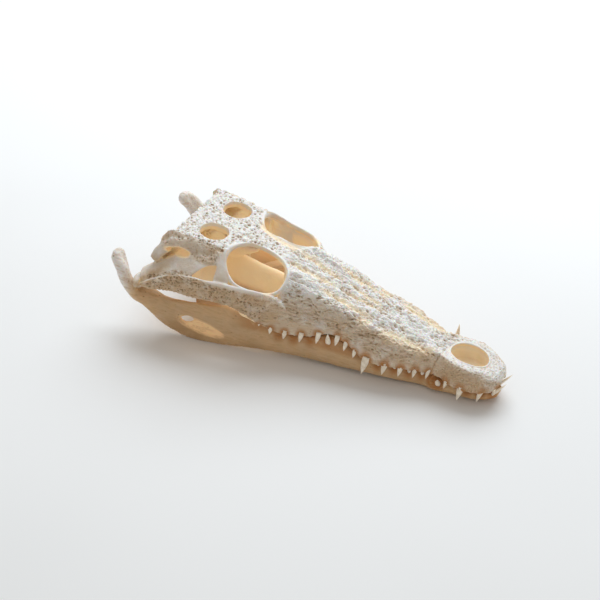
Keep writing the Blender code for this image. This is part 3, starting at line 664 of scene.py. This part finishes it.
class Skin:
    """The points of a fine skin in the skull frame, with fields for the sculpture."""

    def __init__(self, obj):
        self.obj = obj
        self.read()
        # dug-in ornament, browner partly as painted shade; bleached bone and painted top light; browner
        # bone and painted side shade; golden hollows with painted bounce light and glow; orange-brown
        # edges
        self.pit, self.pale, self.tan, self.gold, self.burnt = np.zeros((5, len(self.p)))

    def read(self):
        """Read points and normals, both as (s, y, z)."""
        points = points_of(self.obj.data)
        self.p = points.astype(float) * (-1 / MM, 1 / MM, 1 / MM)
        self.obj.data.vertex_normals.foreach_get("vector", points.reshape(-1))
        self.n = points.astype(float) * (-1, 1, 1)

    def push(self, height):
        """Move the points along their normals, in millimetres."""
        self.p = self.p + self.n * height[:, None]
        flat = (self.p * (-MM, MM, MM)).astype(np.float32).ravel()
        self.obj.data.vertices.foreach_set("co", flat)
        self.obj.data.update()
        self.read()

    def store(self, name, values):
        """Keep a field on the mesh for its material."""
        layer = self.obj.data.attributes.new(name, 'FLOAT', 'POINT')
        layer.data.foreach_set("value", np.clip(values, 0, 1).astype(np.float32))


def painted_occlusion(coarse, skin):
    """Return how closed in each point lies, from 0 in the open to 1, for the painted shade and bounce
    light in the bone's colour.
    """
    tree = BVHTree.FromPolygons([vert.co for vert in coarse.data.vertices],
                                [face.vertices for face in coarse.data.polygons])
    golden = math.pi * (3 - math.sqrt(5))
    rays = []
    for k in range(RAYS):
        up = math.sqrt(1 - (k + 0.5) / RAYS)
        out = math.sqrt(1 - up * up)
        rays.append(Vector((out * math.cos(k * golden), out * math.sin(k * golden), up)))
    known = KDTree(len(coarse.data.vertices))
    values = []
    for vert in coarse.data.vertices:
        turn = vert.normal.to_track_quat('Z', 'X')
        start = vert.co + vert.normal * RAY_START
        shut = 0.0
        for ray in rays:
            hit = tree.ray_cast(start, turn @ ray, RAY_REACH)
            if hit[0] is not None:
                shut += 1 - 0.7 * hit[3] / RAY_REACH
        known.insert(vert.co, vert.index)
        values.append(shut / RAYS)
    known.balance()
    values = np.array(values)
    points = skin.p * (-MM, MM, MM)
    nearest = [known.find(point)[1] for point in points.tolist()]
    return values[nearest]


def net(p, size, seed, warp=0.35, wide=0.55):
    """Return pits between narrow ridges: 1 in the middle of a pit and 0 on the ridges."""
    q = p / size
    q = q + warp * bend(q * 0.7, seed + 10)
    near, second, tag = cells(q, seed)
    return ramp(second - near, 0.05, wide) * ramp(tag, 0.0, 0.45)


def holes(p, size, seed, radius=0.2, share=0.5):
    """Return small round holes scattered over a share of the cells."""
    near, _, tag = cells(p / size, seed)
    return fall(near, 0.6 * radius, 1.4 * radius) * (tag < share)


def edge_distance(hole, s, y):
    """Return how far points lie outside the outline of an opening of the roof."""
    a, b = s - hole["s"], np.abs(y) - hole["y"]
    turn = hole.get("turn", 0)
    a, b = a * math.cos(turn) + b * math.sin(turn), b * math.cos(turn) - a * math.sin(turn)
    a, b = np.abs(a) / hole["half_s"], np.abs(b) / hole["half_y"]
    reach = (a ** hole["power"] + b ** hole["power"]) ** (1 / hole["power"])
    return (reach - 1) * 0.5 * (hole["half_s"] + hole["half_y"])


def inside_depth(hole, top, s, y, z):
    """Return 1 on the walls below an opening of the roof, and 0 at its rim and outside it."""
    near = fall(edge_distance(hole, s, y), -1.0, 0.5)
    return near * ramp(top - z, 4.0, 9.0)


def golden_places(s, y, z, n):
    """Return where the cranium's hollows lie, which are painted golden and given a painted glow, as light
    coming through thin bone.
    """
    a = np.abs(y)
    rim = 41 + 17.5 * ramp(54 - a, 0, 38)
    gold = inside_depth(ORBIT, rim, s, y, z)
    gold = np.maximum(gold, 0.9 * inside_depth(TABLE_HOLE, 61.0, s, y, z))
    gold = np.maximum(gold, (0.25 + 0.35 * ramp(s, 38, 50)) * inside_depth(NARIS, 22.0, s, y, z))
    within_cheeks = fall(a, 46, 52) * fall(z, 40, 48) * ramp(z, -8, 0)
    within_cheeks *= ramp(s, 197, 203) * fall(s, 290, 298)
    gold = np.maximum(gold, within_cheeks * (0.4 + 0.6 * ramp(z, 4, 16)))
    front_wall = ramp(n[:, 0], 0.3, 0.6) * ramp(s, 194, 198) * fall(s, 208, 212)
    gold = np.maximum(gold, front_wall * fall(z, 34, 42))
    (es, ey, ez), (rs, ry, rz) = EAR
    ear = ((s - es) / (1.1 * rs)) ** 2 + ((a - ey) / (1.3 * ry)) ** 2 + ((z - ez) / (1.2 * rz)) ** 2
    return np.maximum(gold, fall(ear, 0.7, 1.2))


def near_teeth(p, rows, reach):
    """Return 1 in the sockets of a row of teeth and a fall to 0 round them."""
    s, a, z = p[:, 0], np.abs(p[:, 1]), p[:, 2]
    near = np.zeros(len(p))
    for tooth in rows:
        d = np.sqrt((s - tooth[0]) ** 2 + (a - tooth[1]) ** 2 + (0.7 * (z - tooth[2])) ** 2)
        near = np.maximum(near, fall(d - tooth[4], 0.2, reach))
    return near


def sculpt_cranium(skin):
    """Press the pits, ridges and furrows of the cranium into its skin."""
    s, y, z = skin.p.T
    up = skin.n[:, 2]
    out = skin.n[:, 1] * np.sign(y)
    a = np.abs(y)
    orbit_edge = edge_distance(ORBIT, s, y)
    skin.gold = golden_places(s, y, z, skin.n)
    inner_edge = bell(orbit_edge, 4.2, 3.2) * fall(a, 22, 34) * (y > 0)
    inner_edge *= ramp(s, 200, 208) * fall(s, 240, 248)
    outside = ramp(orbit_edge, 1.6, 3.6) * (1 - skin.gold) * (1 - 0.7 * inner_edge)
    outside *= ramp(edge_distance(NARIS, s, y), 0.8, 2.0)
    height = -1.0 * inner_edge
    hollows = np.zeros(len(s))

    def laid(mask, field, stretch, *values):
        """Return a field of the stretched points where a mask is open."""
        return within(mask, skin.p, lambda p: field(p * stretch, *values))

    # skull table, roof between the orbits and the table's bent edge
    table = ramp(up + 0.5 * out, 0.1, 0.4) * ramp(z, 45, 48) * ramp(s, 204, 218) * outside
    table *= ramp(edge_distance(TABLE_HOLE, s, y), -0.4, 0.7) * fall(s, 306, 310)
    table *= 1 - ramp(a, 37, 41) * fall(s, 250, 256)
    table *= 1 - 0.45 * ramp(out, 0.4, 0.8) * ramp(s, 262, 270)
    table *= 1 - ramp(skin.n[:, 0], 0.3, 0.7) * fall(z, 55, 58)
    bar = ramp(a, 36, 42) * ramp(s, 236, 240) * fall(s, 251, 255) * ramp(z, 38, 42)
    wide = laid(table, net, 1, 3.1, 11, 0.5, 0.5)
    pits = laid(table, net, 1, 1.9, 12, 0.4, 0.6)
    swell = laid(table, crests, 1 / 3.6, 18)
    edge = ramp(np.maximum(s - 294, a - 36), 0, 5)
    rugged = laid(table, waves, 1 / 6.0, 19)
    height += table * (0.8 * swell - 0.2 - 0.9 * wide - 0.5 * pits + (0.8 + edge) * rugged)
    pit = table * np.clip(0.85 * wide + 0.5 * pits - 0.45 * swell, 0, 1)

    # roof of the snout: long winding crests with furrows and pits between them
    snout = ramp(up, -0.05, 0.35) * fall(s, 206, 220) * ramp(s, 44, 56) * outside
    snout *= 1 - table
    big = laid(snout, crests, (0.07, 0.17, 0.17), 31, 0.5)
    mid = laid(snout, crests, (0.18, 0.36, 0.36), 32, 0.5)
    fine = laid(snout, crests, (0.45, 0.75, 0.75), 33, 0.4)
    pits = laid(snout, net, (0.6, 1, 1), 2.2, 35)
    relief = 1.2 * big + 1.0 * mid + 0.45 * fine
    height += snout * (relief - 1.1 - 0.6 * pits * (1 - mid))
    pit = np.maximum(pit, snout * np.clip(0.7 - 0.8 * relief + 0.45 * pits, 0, 0.85))

    # long ridges and hollows of the snout
    for s0, s1, y0, y1, width, tall in SNOUT_RELIEF:
        t = np.clip((s - s0) / (s1 - s0), -0.2, 1.2)
        bed = bell(a, y0 + t * (y1 - y0), width) * ramp(t, -0.15, 0.15) * fall(t, 0.85, 1.15)
        height += 1.25 * tall * snout * bed
        if tall < 0:
            hollows = np.maximum(hollows, snout * bed)

    # cheek: close winding crests
    crease_z = 28 + 0.52 * (302 - s)   # the line where the cheek meets the sheet above it
    cheek = ramp(out, 0.1, 0.5) * ramp(a, 42, 47) * ramp(s, 184, 204) * fall(s, 306, 316)
    cheek *= fall(z - np.minimum(crease_z, 39.0), -2.5, 0.5) * (1 - skin.gold) * (1 - snout)
    worm = laid(cheek, crests, (0.22, 0.31, 0.31), 51, 0.6)
    worm = np.maximum(worm, 0.8 * laid(cheek, crests, (0.36, 0.5, 0.5), 52))
    height += cheek * (1.5 * worm - 0.9)
    pit = np.maximum(pit, cheek * np.clip(1.1 - 1.7 * worm, 0, 1))

    # sides of the snout: long lines, small holes and a rugged front
    side = ramp(out, 0.3, 0.65) * (1 - cheek) * fall(s, 214, 224) * (1 - snout) * outside
    lines = laid(side, crests, (0.1, 0.4, 0.4), 71, 0.4)
    rough = laid(side, crests, (0.3, 0.42, 0.42), 78, 0.5)
    small = laid(side, holes, (0.8, 1, 1), 2.1, 75, 0.2, 0.6)
    front = fall(s, 115, 150)
    height += side * (0.45 * lines + (0.25 + 0.5 * front) * rough - 0.4 - 0.6 * small)
    pit = np.maximum(pit, side * np.clip(0.8 * small + 0.4 - 0.5 * lines - 0.4 * rough, 0, 1))

    # seam between the premaxilla and the maxilla
    seam = bell(s, 56.5 - 0.25 * (z - 10) + 1.2 * waves(skin.p / 4.0, 61), 0.9) * ramp(z, 2, 4)
    seam *= ramp(a, 8, 14)
    height -= 0.9 * seam
    pit = np.maximum(pit, 0.6 * seam)

    # tip of the snout: fine rugged bone
    tip = fall(s, 46, 58) * outside * ramp(z, -1, 3)
    knobs = laid(tip, crests, 1 / 2.4, 81, 0.5)
    small = laid(tip, holes, 1, 2.3, 85, 0.2, 0.5)
    height += tip * (0.55 * knobs - 0.25 - 0.5 * small)
    pit = np.maximum(pit, tip * np.clip(0.8 * small + 0.35 - 0.5 * knobs, 0, 1))

    # quadrate: fine lines that run up and forward
    plain = ramp(s, 262, 270) * ramp(a, 30, 36) * (1 - cheek) * (1 - table)
    turned = skin.p @ np.array(((0.08, 0.5, 0.3), (0.1, 0.8, 0.1), (0.12, -0.4, 0.8)))
    striae = within(plain, turned, lambda q: crests(q * 0.9, 91))
    height += 0.3 * plain * striae
    pit = np.maximum(pit, 0.2 * plain * (1 - striae))

    # fine waviness everywhere, and colour by place, with painted top light, painted side shade and a
    # painted golden glow among the colours
    height += 0.10 * waves(skin.p / 2.2, 5) + 0.45 * waves(skin.p / 9.0, 7)
    # Browner in the pits, furrows and seams: partly the bone's own colour, partly painted shade in the
    # dug-in places.
    skin.pit = pit
    # Painted side shade: the flanks and the sides of the tip are painted tan below the top, as where the
    # light from above and behind falls less; the cheeks, the quadrate, the bar and the inside of the
    # naris are tan too.
    flank = ramp(out, 0.2, 0.8)
    skin.tan = np.clip(0.9 * cheek + 0.75 * flank * fall(z, 26, 46) + 0.35 * plain
                       + 0.8 * table * flank + 0.4 * tip * fall(up, 0, 0.6)
                       + 0.9 * inside_depth(NARIS, 19.0, s, y, z) + 0.4 * bar, 0, 1)
    # Painted top light: faces that turn upward are painted paler and cooler, as where the light from
    # above falls.
    skin.pale = 0.8 * ramp(up, 0.3, 0.8) * (1 - skin.tan) * (1 - skin.gold)
    wings = fall(a, 46, 52) * fall(z, 2, 14) * ramp(s, 197, 203)
    skin.burnt = np.maximum(near_teeth(skin.p, UPPER_TEETH, 4.6), 0.5 * wings)
    # Painted glow: the golden places, also the inner edge of the left orbit and the snout's hollows, get
    # a golden colour and a faint glow of their own.
    skin.gold = np.maximum(skin.gold, np.maximum(0.8 * inner_edge, 0.65 * hollows))
    skin.push(height)


def sculpt_jaw(skin):
    """Press the grain and the fine holes of the lower jaw into its skin."""
    s, y, z = skin.p.T
    out = skin.n[:, 1] * np.sign(y)
    grain = crests(skin.p * (0.045, 0.42, 0.42), 91) + 0.6 * crests(skin.p * (0.08, 1.0, 1.0), 92)
    small = holes(skin.p * (0.6, 1, 1), 4.2, 95, 0.12, 0.4)
    inner = ramp(-out, 0.2, 0.6) * ramp(s, 190, 210) * fall(s, 290, 300)
    skin.pit = np.maximum(0.9 * small, 0.35 * (1 - np.clip(grain, 0, 1))) * (1 - 0.9 * inner)
    keel = ramp(waves(skin.p * (0.02, 0.05, 0.05), 98), -0.6, 0.6)
    skin.pale = 0.75 * ramp(s, 318, 332)
    # Tan all over, browner in patches towards the lower edge: partly the bone's colour, partly painted
    # shade under the jaw.
    skin.tan = (0.3 + 0.7 * ramp(-z, 8, 26) * keel) * fall(s, 312, 328)
    top = ramp(z, -6, -1) * fall(s, 215, 235) * ramp(out, -0.3, 0.2)
    skin.burnt = np.maximum(near_teeth(skin.p, LOWER_TEETH + (SHORT_TOOTH,), 6.0), 0.6 * top)
    hollow = ((s - 258) / 23) ** 2 + ((z + 16 - 0.12 * (s - 258)) / 8) ** 2
    # Painted glow: the hollow in the side of the jaw and the jaw's inner faces are painted golden and get
    # a faint glow of their own.
    skin.gold = np.maximum(fall(hollow, 0.5, 1.1) * fall(s, 285, 290), inner)
    # raised edge of the socket of the broken tooth
    socket = np.sqrt((s - SHORT_TOOTH[0]) ** 2 + (y + SHORT_TOOTH[1]) ** 2 + (z + 3) ** 2)
    ring = 1.2 * bell(socket, 6.2, 1.0) - 1.4 * bell(socket, 4.2, 1.1)
    # groove along the top of the process behind the joint
    path = np.array(SPUR[0])
    across, rise = (np.interp(s, path[:, 0], path[:, k]) for k in (1, 2))
    from_middle = SPUR_OUT * (np.abs(y) - across) + SPUR_UP * (z - rise)
    facing_in = ramp(SPUR_OUT * skin.n[:, 2] - SPUR_UP * out, 0.3, 0.8)
    trough = bell(from_middle, 0, 3.4) * facing_in * ramp(s, 318, 326) * fall(s, 334, 342)
    height = 0.20 * grain - 0.5 * small + 0.3 * waves(skin.p / 8.0, 97) - 1.8 * trough + ring
    skin.push(height)


# ---- teeth ----

def add_tooth(forms, side, tooth, direction):
    """Add a pointed tooth, curved back; direction is -1 down or +1 up."""
    s, y, z, length, radius, lean_out, lean_back = tooth
    rings = []
    for t in np.linspace(-TOOTH_ROOT / length, 1.0, 18):
        up = max(t, 0)
        r = radius * (1.0 - 0.25 * up) * max(1 - up ** 2.2, 0.05)
        centre = np.array((s + lean_back * length * t + 0.4 * up * up,
                           y + lean_out * length * t * (1 - 0.5 * up * up),
                           z + direction * length * t))
        pairs = oval(r, 0.85 * r, 2.0, 20)
        rings.append(centre + np.stack([pairs[:, 0], pairs[:, 1], 0 * pairs[:, 0]], 1))
    forms.add(rings, side)


def make_teeth(name, rows, direction):
    """Return one jaw's teeth as one object."""
    forms = Forms()
    for side in SIDES:
        for tooth in rows:
            if side < 0 and tooth is TALL_TOOTH:
                tooth = SHORT_TOOTH
            add_tooth(forms, side, tooth, direction)
    return forms.make(name)


# ---- materials ----

class Paint:
    """Short calls for building a node material."""

    def __init__(self, name):
        self.material = bpy.data.materials.new(name)
        self.material.use_nodes = True
        self.tree = self.material.node_tree
        self.place = self.node('ShaderNodeTexCoord').outputs["Object"]

    def put(self, value, socket):
        """Feed a socket from another one, or set it to a number, vector or colour."""
        if isinstance(value, bpy.types.NodeSocket):
            self.tree.links.new(value, socket)
        else:
            socket.default_value = (*value, 1) if socket.type == 'RGBA' else value

    def node(self, kind, inputs=(), **values):
        """Add a node, set its values, and set or feed its inputs."""
        made = self.tree.nodes.new(kind)
        for key, value in values.items():
            setattr(made, key, value)
        for key, value in dict(inputs).items():
            self.put(value, made.inputs[key])
        return made

    def shade(self, **inputs):
        """Set or feed inputs of the shader; an underscore stands for a space."""
        for name, value in inputs.items():
            self.put(value, self.tree.nodes["Principled BSDF"].inputs[name.replace("_", " ")])

    def field(self, name):
        """Return a field stored on the mesh."""
        return self.node('ShaderNodeAttribute', attribute_name=name).outputs["Fac"]

    def noise(self, scale, detail=4, stretch=(1, 1, 1), low=0.35, high=0.65):
        """Return noise from 0 to 1; scale is in features per metre."""
        mapping = self.node('ShaderNodeMapping', {"Vector": self.place, "Scale": stretch})
        made = self.node('ShaderNodeTexNoise', {"Vector": mapping.outputs["Vector"],
                                                "Scale": scale, "Detail": detail})
        return self.between(made.outputs["Fac"], low, high)

    def between(self, value, low, high):
        """Return 0 at low and 1 at high."""
        return self.node('ShaderNodeMapRange', {"Value": value, "From Min": low, "From Max": high},
                         interpolation_type='SMOOTHSTEP').outputs["Result"]

    def times(self, a, b):
        """Return a product; b may be a number."""
        return self.node('ShaderNodeMath', {0: a, 1: b}, operation='MULTIPLY').outputs[0]

    def mix(self, share, under, over):
        """Return a colour between two; each is a colour or a socket."""
        return self.node('ShaderNodeMix', {0: share, 6: under, 7: over},
                         data_type='RGBA').outputs[2]

    def bump(self, height, strength, distance):
        """Raise the surface by a height field, up to a distance in millimetres."""
        made = self.node('ShaderNodeBump', {"Height": height, "Strength": strength,
                                            "Distance": distance * MM})
        self.shade(Normal=made.outputs["Normal"])


# pale cool colour of bleached bone, also laid as painted top light on upward faces
BLEACH_AND_TOP_LIGHT = (0.90, 0.90, 0.89)
PAINTED_GLOW = 0.1  # strength of the painted glow: emission that stands in for light coming through thin bone


def bone_material(name, base, cool, tan, gold, burnt, deep):
    """Return bone: pale on its ridges, with painted top light, golden in hollows, with painted bounce
    light and glow, browner in pits, partly as painted shade, with fine grain.
    """
    paint = Paint(name)
    tint = paint.mix(paint.noise(60, 3), base, cool)
    for share, colour in (
            (paint.times(paint.noise(45, low=0.5, high=0.75), 0.25), gold),
            # paler bone, partly bleached and partly painted top light
            (paint.field("pale"), BLEACH_AND_TOP_LIGHT),
            # tan bone, partly painted side shade
            (paint.times(paint.field("tan"), paint.noise(90, low=0.1, high=0.6)), tan),
            # golden where the bone is closed in: partly the less bleached bone of hollows, partly painted
            # shade and bounce light
            (paint.between(paint.field("painted_occlusion"), 0.15, 0.65), gold),
            # golden colour of the hollows, painted as light coming through thin bone
            (paint.field("gold"), gold),
            (paint.times(paint.field("burnt"), paint.noise(200, 3, low=0.1, high=0.45)), burnt),
            # browner in the pits: partly the bone's own colour, partly painted shade
            (paint.times(paint.between(paint.field("pit"), 0.0, 0.45), 0.5), tan),
            (paint.times(paint.between(paint.field("pit"), 0.25, 1.0), 0.85), deep)):
        tint = paint.mix(share, tint, colour)
    rough = paint.node('ShaderNodeMapRange', {"Value": paint.noise(400, 3),
                                              "To Min": 0.5, "To Max": 0.75})
    # Painted glow: the golden places give off a faint golden light of their own, standing in for light
    # that comes through thin bone.
    paint.shade(Base_Color=tint, Roughness=rough.outputs["Result"], Emission_Color=gold,
                Emission_Strength=paint.times(paint.field("gold"), PAINTED_GLOW),
                Subsurface_Weight=0.3, Subsurface_Radius=(1.0, 0.55, 0.3), Subsurface_Scale=0.003)
    paint.material.cycles.emission_sampling = 'NONE'
    paint.bump(paint.noise(1500, 5), 0.4, 0.15)
    return paint.material


def tooth_material():
    """Return tooth: satin, grey-beige, with fine lines from root to tip, and a faint painted glow."""
    paint = Paint("tooth")
    tint = paint.mix(paint.noise(300, 3), (0.82, 0.74, 0.60), (0.66, 0.56, 0.42))
    # Painted glow: the whole tooth gives off a faint light of its own, standing in for light that comes
    # through it.
    paint.shade(Base_Color=tint, Roughness=0.35, Emission_Color=(1.0, 0.93, 0.84),
                Emission_Strength=PAINTED_GLOW, Subsurface_Weight=0.8,
                Subsurface_Radius=(1.0, 0.95, 0.9), Subsurface_Scale=0.0025)
    paint.material.cycles.emission_sampling = 'NONE'
    paint.bump(paint.noise(900, 2, stretch=(1, 1, 0.08)), 0.3, 0.15)
    return paint.material


# ---- pieces ----

def finish_piece(obj, material):
    """Lay a piece in its resting place with its material, riding on the root."""
    obj.data.transform(REST)
    points = points_of(obj.data)
    points[:, 2] = np.maximum(points[:, 2], 0)   # flats where the jaw meets the floor
    obj.data.vertices.foreach_set("co", points.ravel())
    obj.data.materials.clear()
    obj.data.materials.append(material)
    obj.data.shade_smooth()
    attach(obj, "root")


def make_bone(obj, grid, sculpt, material, nodes):
    """Refine a plain skin, sculpt it and let it stand for its nodes."""
    coarse = obj.copy()
    fuse(obj, grid, rounds=3)
    skin = Skin(obj)
    # how closed in each point lies, kept for the painted shade and bounce light in the colour
    shut = painted_occlusion(coarse, skin)
    sculpt(skin)
    for name in ("pit", "pale", "tan", "gold", "burnt"):
        skin.store(name, getattr(skin, name))
    skin.store("painted_occlusion", shut)
    bpy.data.objects.remove(coarse)
    finish_piece(obj, material)
    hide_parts(*nodes)


# ---- stage ----

VIEW_AZIMUTH, VIEW_ELEVATION, VIEW_ROLL = (math.radians(v) for v in (22, 36, 8))
VIEW_CENTRE = (180, 0, 20)  # the skull's point (s, y, z) that the camera looks at
VIEW_DISTANCE = 1.3
FRAME_PX = 600
FOCAL_PX = 1504
CENTRE_PX = (313.9, 293.7)  # where that point lies in the frame
SENSOR = 36.0
LIGHT_AZIMUTH, LIGHT_ELEVATION = math.radians(192), math.radians(50)
LIGHT_DISTANCE, LIGHT_SIZE, LIGHT_POWER = 1.6, 1.5, 26  # metres, metres, watts
SKY_STRENGTH = 0.44
FLOOR_HALF = 6.0  # half the floor's side, in metres


def aim(obj, azimuth, elevation, roll, distance, frame_turn):
    """Place an object on a sphere round the view's centre, looking at it."""
    back = Vector((math.sin(azimuth) * math.cos(elevation),
                   -math.cos(azimuth) * math.cos(elevation), math.sin(elevation)))
    right = Vector((math.cos(azimuth), math.sin(azimuth), 0))
    up = back.cross(right)
    turned = (right * math.cos(roll) + up * math.sin(roll),
              up * math.cos(roll) - right * math.sin(roll), back)
    axes = [frame_turn @ axis for axis in turned]
    place = Matrix(axes).transposed().to_4x4()
    s, y, z = VIEW_CENTRE
    place.translation = REST @ Vector((-s * MM, y * MM, z * MM)) + axes[2] * distance
    obj.matrix_world = place


def make_camera():
    """Make the camera that sees the skull as the photo does."""
    data = bpy.data.cameras.new("camera")
    data.sensor_width = SENSOR
    data.lens = FOCAL_PX / FRAME_PX * SENSOR
    data.shift_x = (FRAME_PX / 2 - CENTRE_PX[0]) / FRAME_PX
    data.shift_y = (CENTRE_PX[1] - FRAME_PX / 2) / FRAME_PX
    data.clip_end = 20
    camera = new_object("camera", data)
    aim(camera, VIEW_AZIMUTH, VIEW_ELEVATION, VIEW_ROLL, VIEW_DISTANCE, REST.to_3x3())
    bpy.context.scene.camera = camera


def make_light():
    """Make the soft cool light behind the skull."""
    data = bpy.data.lights.new("back light", 'AREA')
    data.size = LIGHT_SIZE
    data.energy = LIGHT_POWER
    data.color = (0.87, 0.94, 1.0)
    aim(new_object("back light", data), LIGHT_AZIMUTH, LIGHT_ELEVATION, 0, LIGHT_DISTANCE,
        Matrix.Identity(3))


def make_stage():
    """Make the pale floor and the white surroundings."""
    mesh = bpy.data.meshes.new("floor")
    mesh.from_pydata([(x * FLOOR_HALF, y * FLOOR_HALF, 0)
                      for x, y in ((-1, -1), (1, -1), (1, 1), (-1, 1))], [], [(0, 1, 2, 3)])
    floor = new_object("floor", mesh)
    paint = Paint("floor")
    tint = paint.mix(paint.noise(2.0, 2), (0.90, 0.90, 0.90), (0.93, 0.93, 0.93))
    paint.shade(Base_Color=tint, Roughness=0.9)
    mesh.materials.append(paint.material)
    world = bpy.data.worlds.new("white room")
    world.use_nodes = True
    sky = world.node_tree.nodes["Background"]
    sky.inputs["Color"].default_value = (1.0, 0.97, 0.92, 1)
    sky.inputs["Strength"].default_value = SKY_STRENGTH
    bpy.context.scene.world = world
    bpy.context.scene.view_settings.view_transform = 'Standard'


make_camera()
make_stage()
make_light()
cranium_bone = bone_material(
    "cranium_bone", base=(0.88, 0.80, 0.68), cool=(0.84, 0.80, 0.74), tan=(0.62, 0.44, 0.27),
    gold=(1.0, 0.80, 0.52), burnt=(0.48, 0.21, 0.06), deep=(0.36, 0.23, 0.12))
jaw_bone = bone_material(
    "jaw_bone", base=(0.75, 0.50, 0.27), cool=(0.69, 0.48, 0.28), tan=(0.53, 0.32, 0.15),
    gold=(0.95, 0.66, 0.36), burnt=(0.48, 0.20, 0.05), deep=(0.33, 0.18, 0.07))
make_bone(make_cranium(), CRANIUM_GRID, sculpt_cranium, cranium_bone,
          CRANIUM_NODES)
make_bone(make_jaw(), JAW_GRID, sculpt_jaw, jaw_bone, JAW_NODES)
tooth_enamel = tooth_material()
finish_piece(make_teeth("upper_teeth", UPPER_TEETH, -1), tooth_enamel)
finish_piece(make_teeth("lower_teeth", LOWER_TEETH, 1), tooth_enamel)
